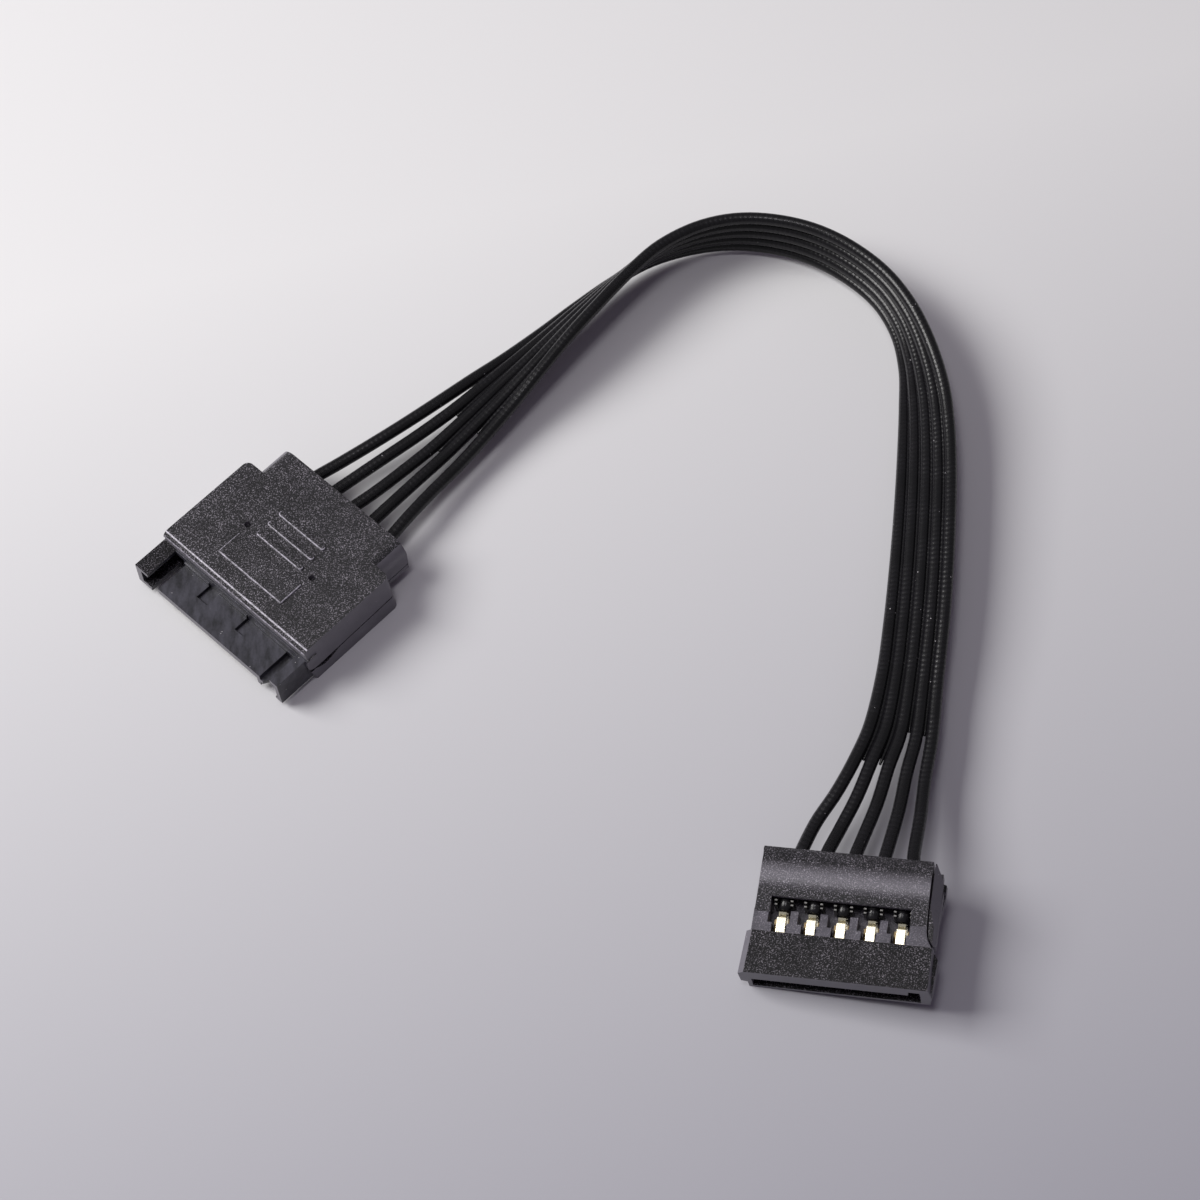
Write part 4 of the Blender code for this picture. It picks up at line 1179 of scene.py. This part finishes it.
class CABLE_OT_receptacle_contacts(bpy.types.Operator):
    """Model the folded contacts seen in the receptacle's windows"""

    bl_idname = "cable.receptacle_contacts"
    bl_label = "Receptacle, contacts"

    def execute(self, context):
        for circuit in range(CIRCUITS):
            x = seat_x(circuit)
            contact = box(f"receptacle_contact_{circuit + 1}", (x - 0.58, x + 0.6), (0.14, 2.2), (-0.8, -0.6))
            shift_points(contact, (0, 0, 0.2), lambda place: place.y > 2)
            ease(contact, 0.06, 2)
            fuse(contact, profile("body", [
                (0.2, -1.9), (2.0, -1.9), (2.0, -3.0), (5.5, -3.0), (5.5, -2.75), (2.3, -2.75),
                (2.3, -1.5), (2.1, -1.1), (2.1, -0.66), (0.2, -0.74)], "X", x - 0.54, x + 0.56))
            fuse(contact, profile("tab", [
                (2.2, -1.45), (2.52, -0.98), (3.02, -0.74), (3.12, -0.9), (2.62, -1.2), (2.3, -1.6)],
                "X", x - 0.5, x + 0.48))
            flank = box("flank", (x - 0.95, x - 0.5), (0.3, 2.0), (-1.85, -0.85))
            shift_points(flank, (0, 0, -0.25), lambda place: place.x < x - 0.9 and place.z > -1.1)
            fuse(contact, flank)
            fuse(contact, box("barb_arm", (x + 0.5, x + 0.98), (1.45, 2.05), (-1.6, -1.2)))
            fuse(contact, box("barb", (x + 0.84, x + 0.98), (1.42, 2.08), (-1.4, -0.75)))
            for place in (-1, 0, 1):
                middle = wire_x(circuit) + place * CONTACT_PITCH
                fuse(contact, profile("finger", [
                    (0.4, -1.5), (-0.9, -1.6), (-3.6, -2.25), (-4.9, -1.85),
                    (-4.9, -2.1), (-3.6, -2.5), (-0.9, -1.85), (0.4, -1.75)],
                    "X", middle - FINGER_WIDTH / 2, middle + FINGER_WIDTH / 2))
            for front, top in ((3.95, -0.75), (4.36, -0.35)):
                fuse(contact, profile("fork", [
                    (x - 1.3, -2.95), (x + 1.3, -2.95), (x + 1.22, top), (x + 0.88, top),
                    (x + 0.8, -2.6), (x - 0.8, -2.6), (x - 0.88, top), (x - 1.22, top)],
                    "Y", front, front + FORK_THICKNESS))
            settle(contact, RECEPTACLE, ["gold", "tin", "brown"], [f"female_terminal_{circuit + 1}"],
                   lambda face: contact_faces(face, x))
        return {"FINISHED"}


class CABLE_PT_pieces(bpy.types.Panel):
    """The cable's pieces"""

    bl_idname = "CABLE_PT_pieces"
    bl_label = "Cable"
    bl_space_type = "VIEW_3D"
    bl_region_type = "UI"
    bl_category = "Cable"

    def draw(self, context):
        for name in CableSizes.__annotations__:
            self.layout.prop(context.scene.cable_sizes, name)
        for piece in PIECES:
            self.layout.operator(piece.bl_idname)


PIECES = (
    CABLE_OT_stage,
    CABLE_OT_wires,
    CABLE_OT_plug_top,
    CABLE_OT_plug_bottom,
    CABLE_OT_plug_insert,
    CABLE_OT_plug_blades,
    CABLE_OT_receptacle_housing,
    CABLE_OT_receptacle_cap,
    CABLE_OT_receptacle_contacts,
)


def register():
    """Register the sizes, the operators and the panel."""
    bpy.utils.register_class(CableSizes)
    bpy.types.Scene.cable_sizes = bpy.props.PointerProperty(type=CableSizes)
    for piece in PIECES:
        bpy.utils.register_class(piece)
    bpy.utils.register_class(CABLE_PT_pieces)


def unregister():
    """Undo what register did."""
    bpy.utils.unregister_class(CABLE_PT_pieces)
    for piece in reversed(PIECES):
        bpy.utils.unregister_class(piece)
    del bpy.types.Scene.cable_sizes
    bpy.utils.unregister_class(CableSizes)


def main():
    """Build the whole cable."""
    register()
    bpy.ops.cable.stage()
    bpy.ops.cable.wires()
    bpy.ops.cable.plug_top()
    bpy.ops.cable.plug_bottom()
    bpy.ops.cable.plug_insert()
    bpy.ops.cable.plug_blades()
    bpy.ops.cable.receptacle_housing()
    bpy.ops.cable.receptacle_cap()
    bpy.ops.cable.receptacle_contacts()


if __name__ == "__main__":
    main()
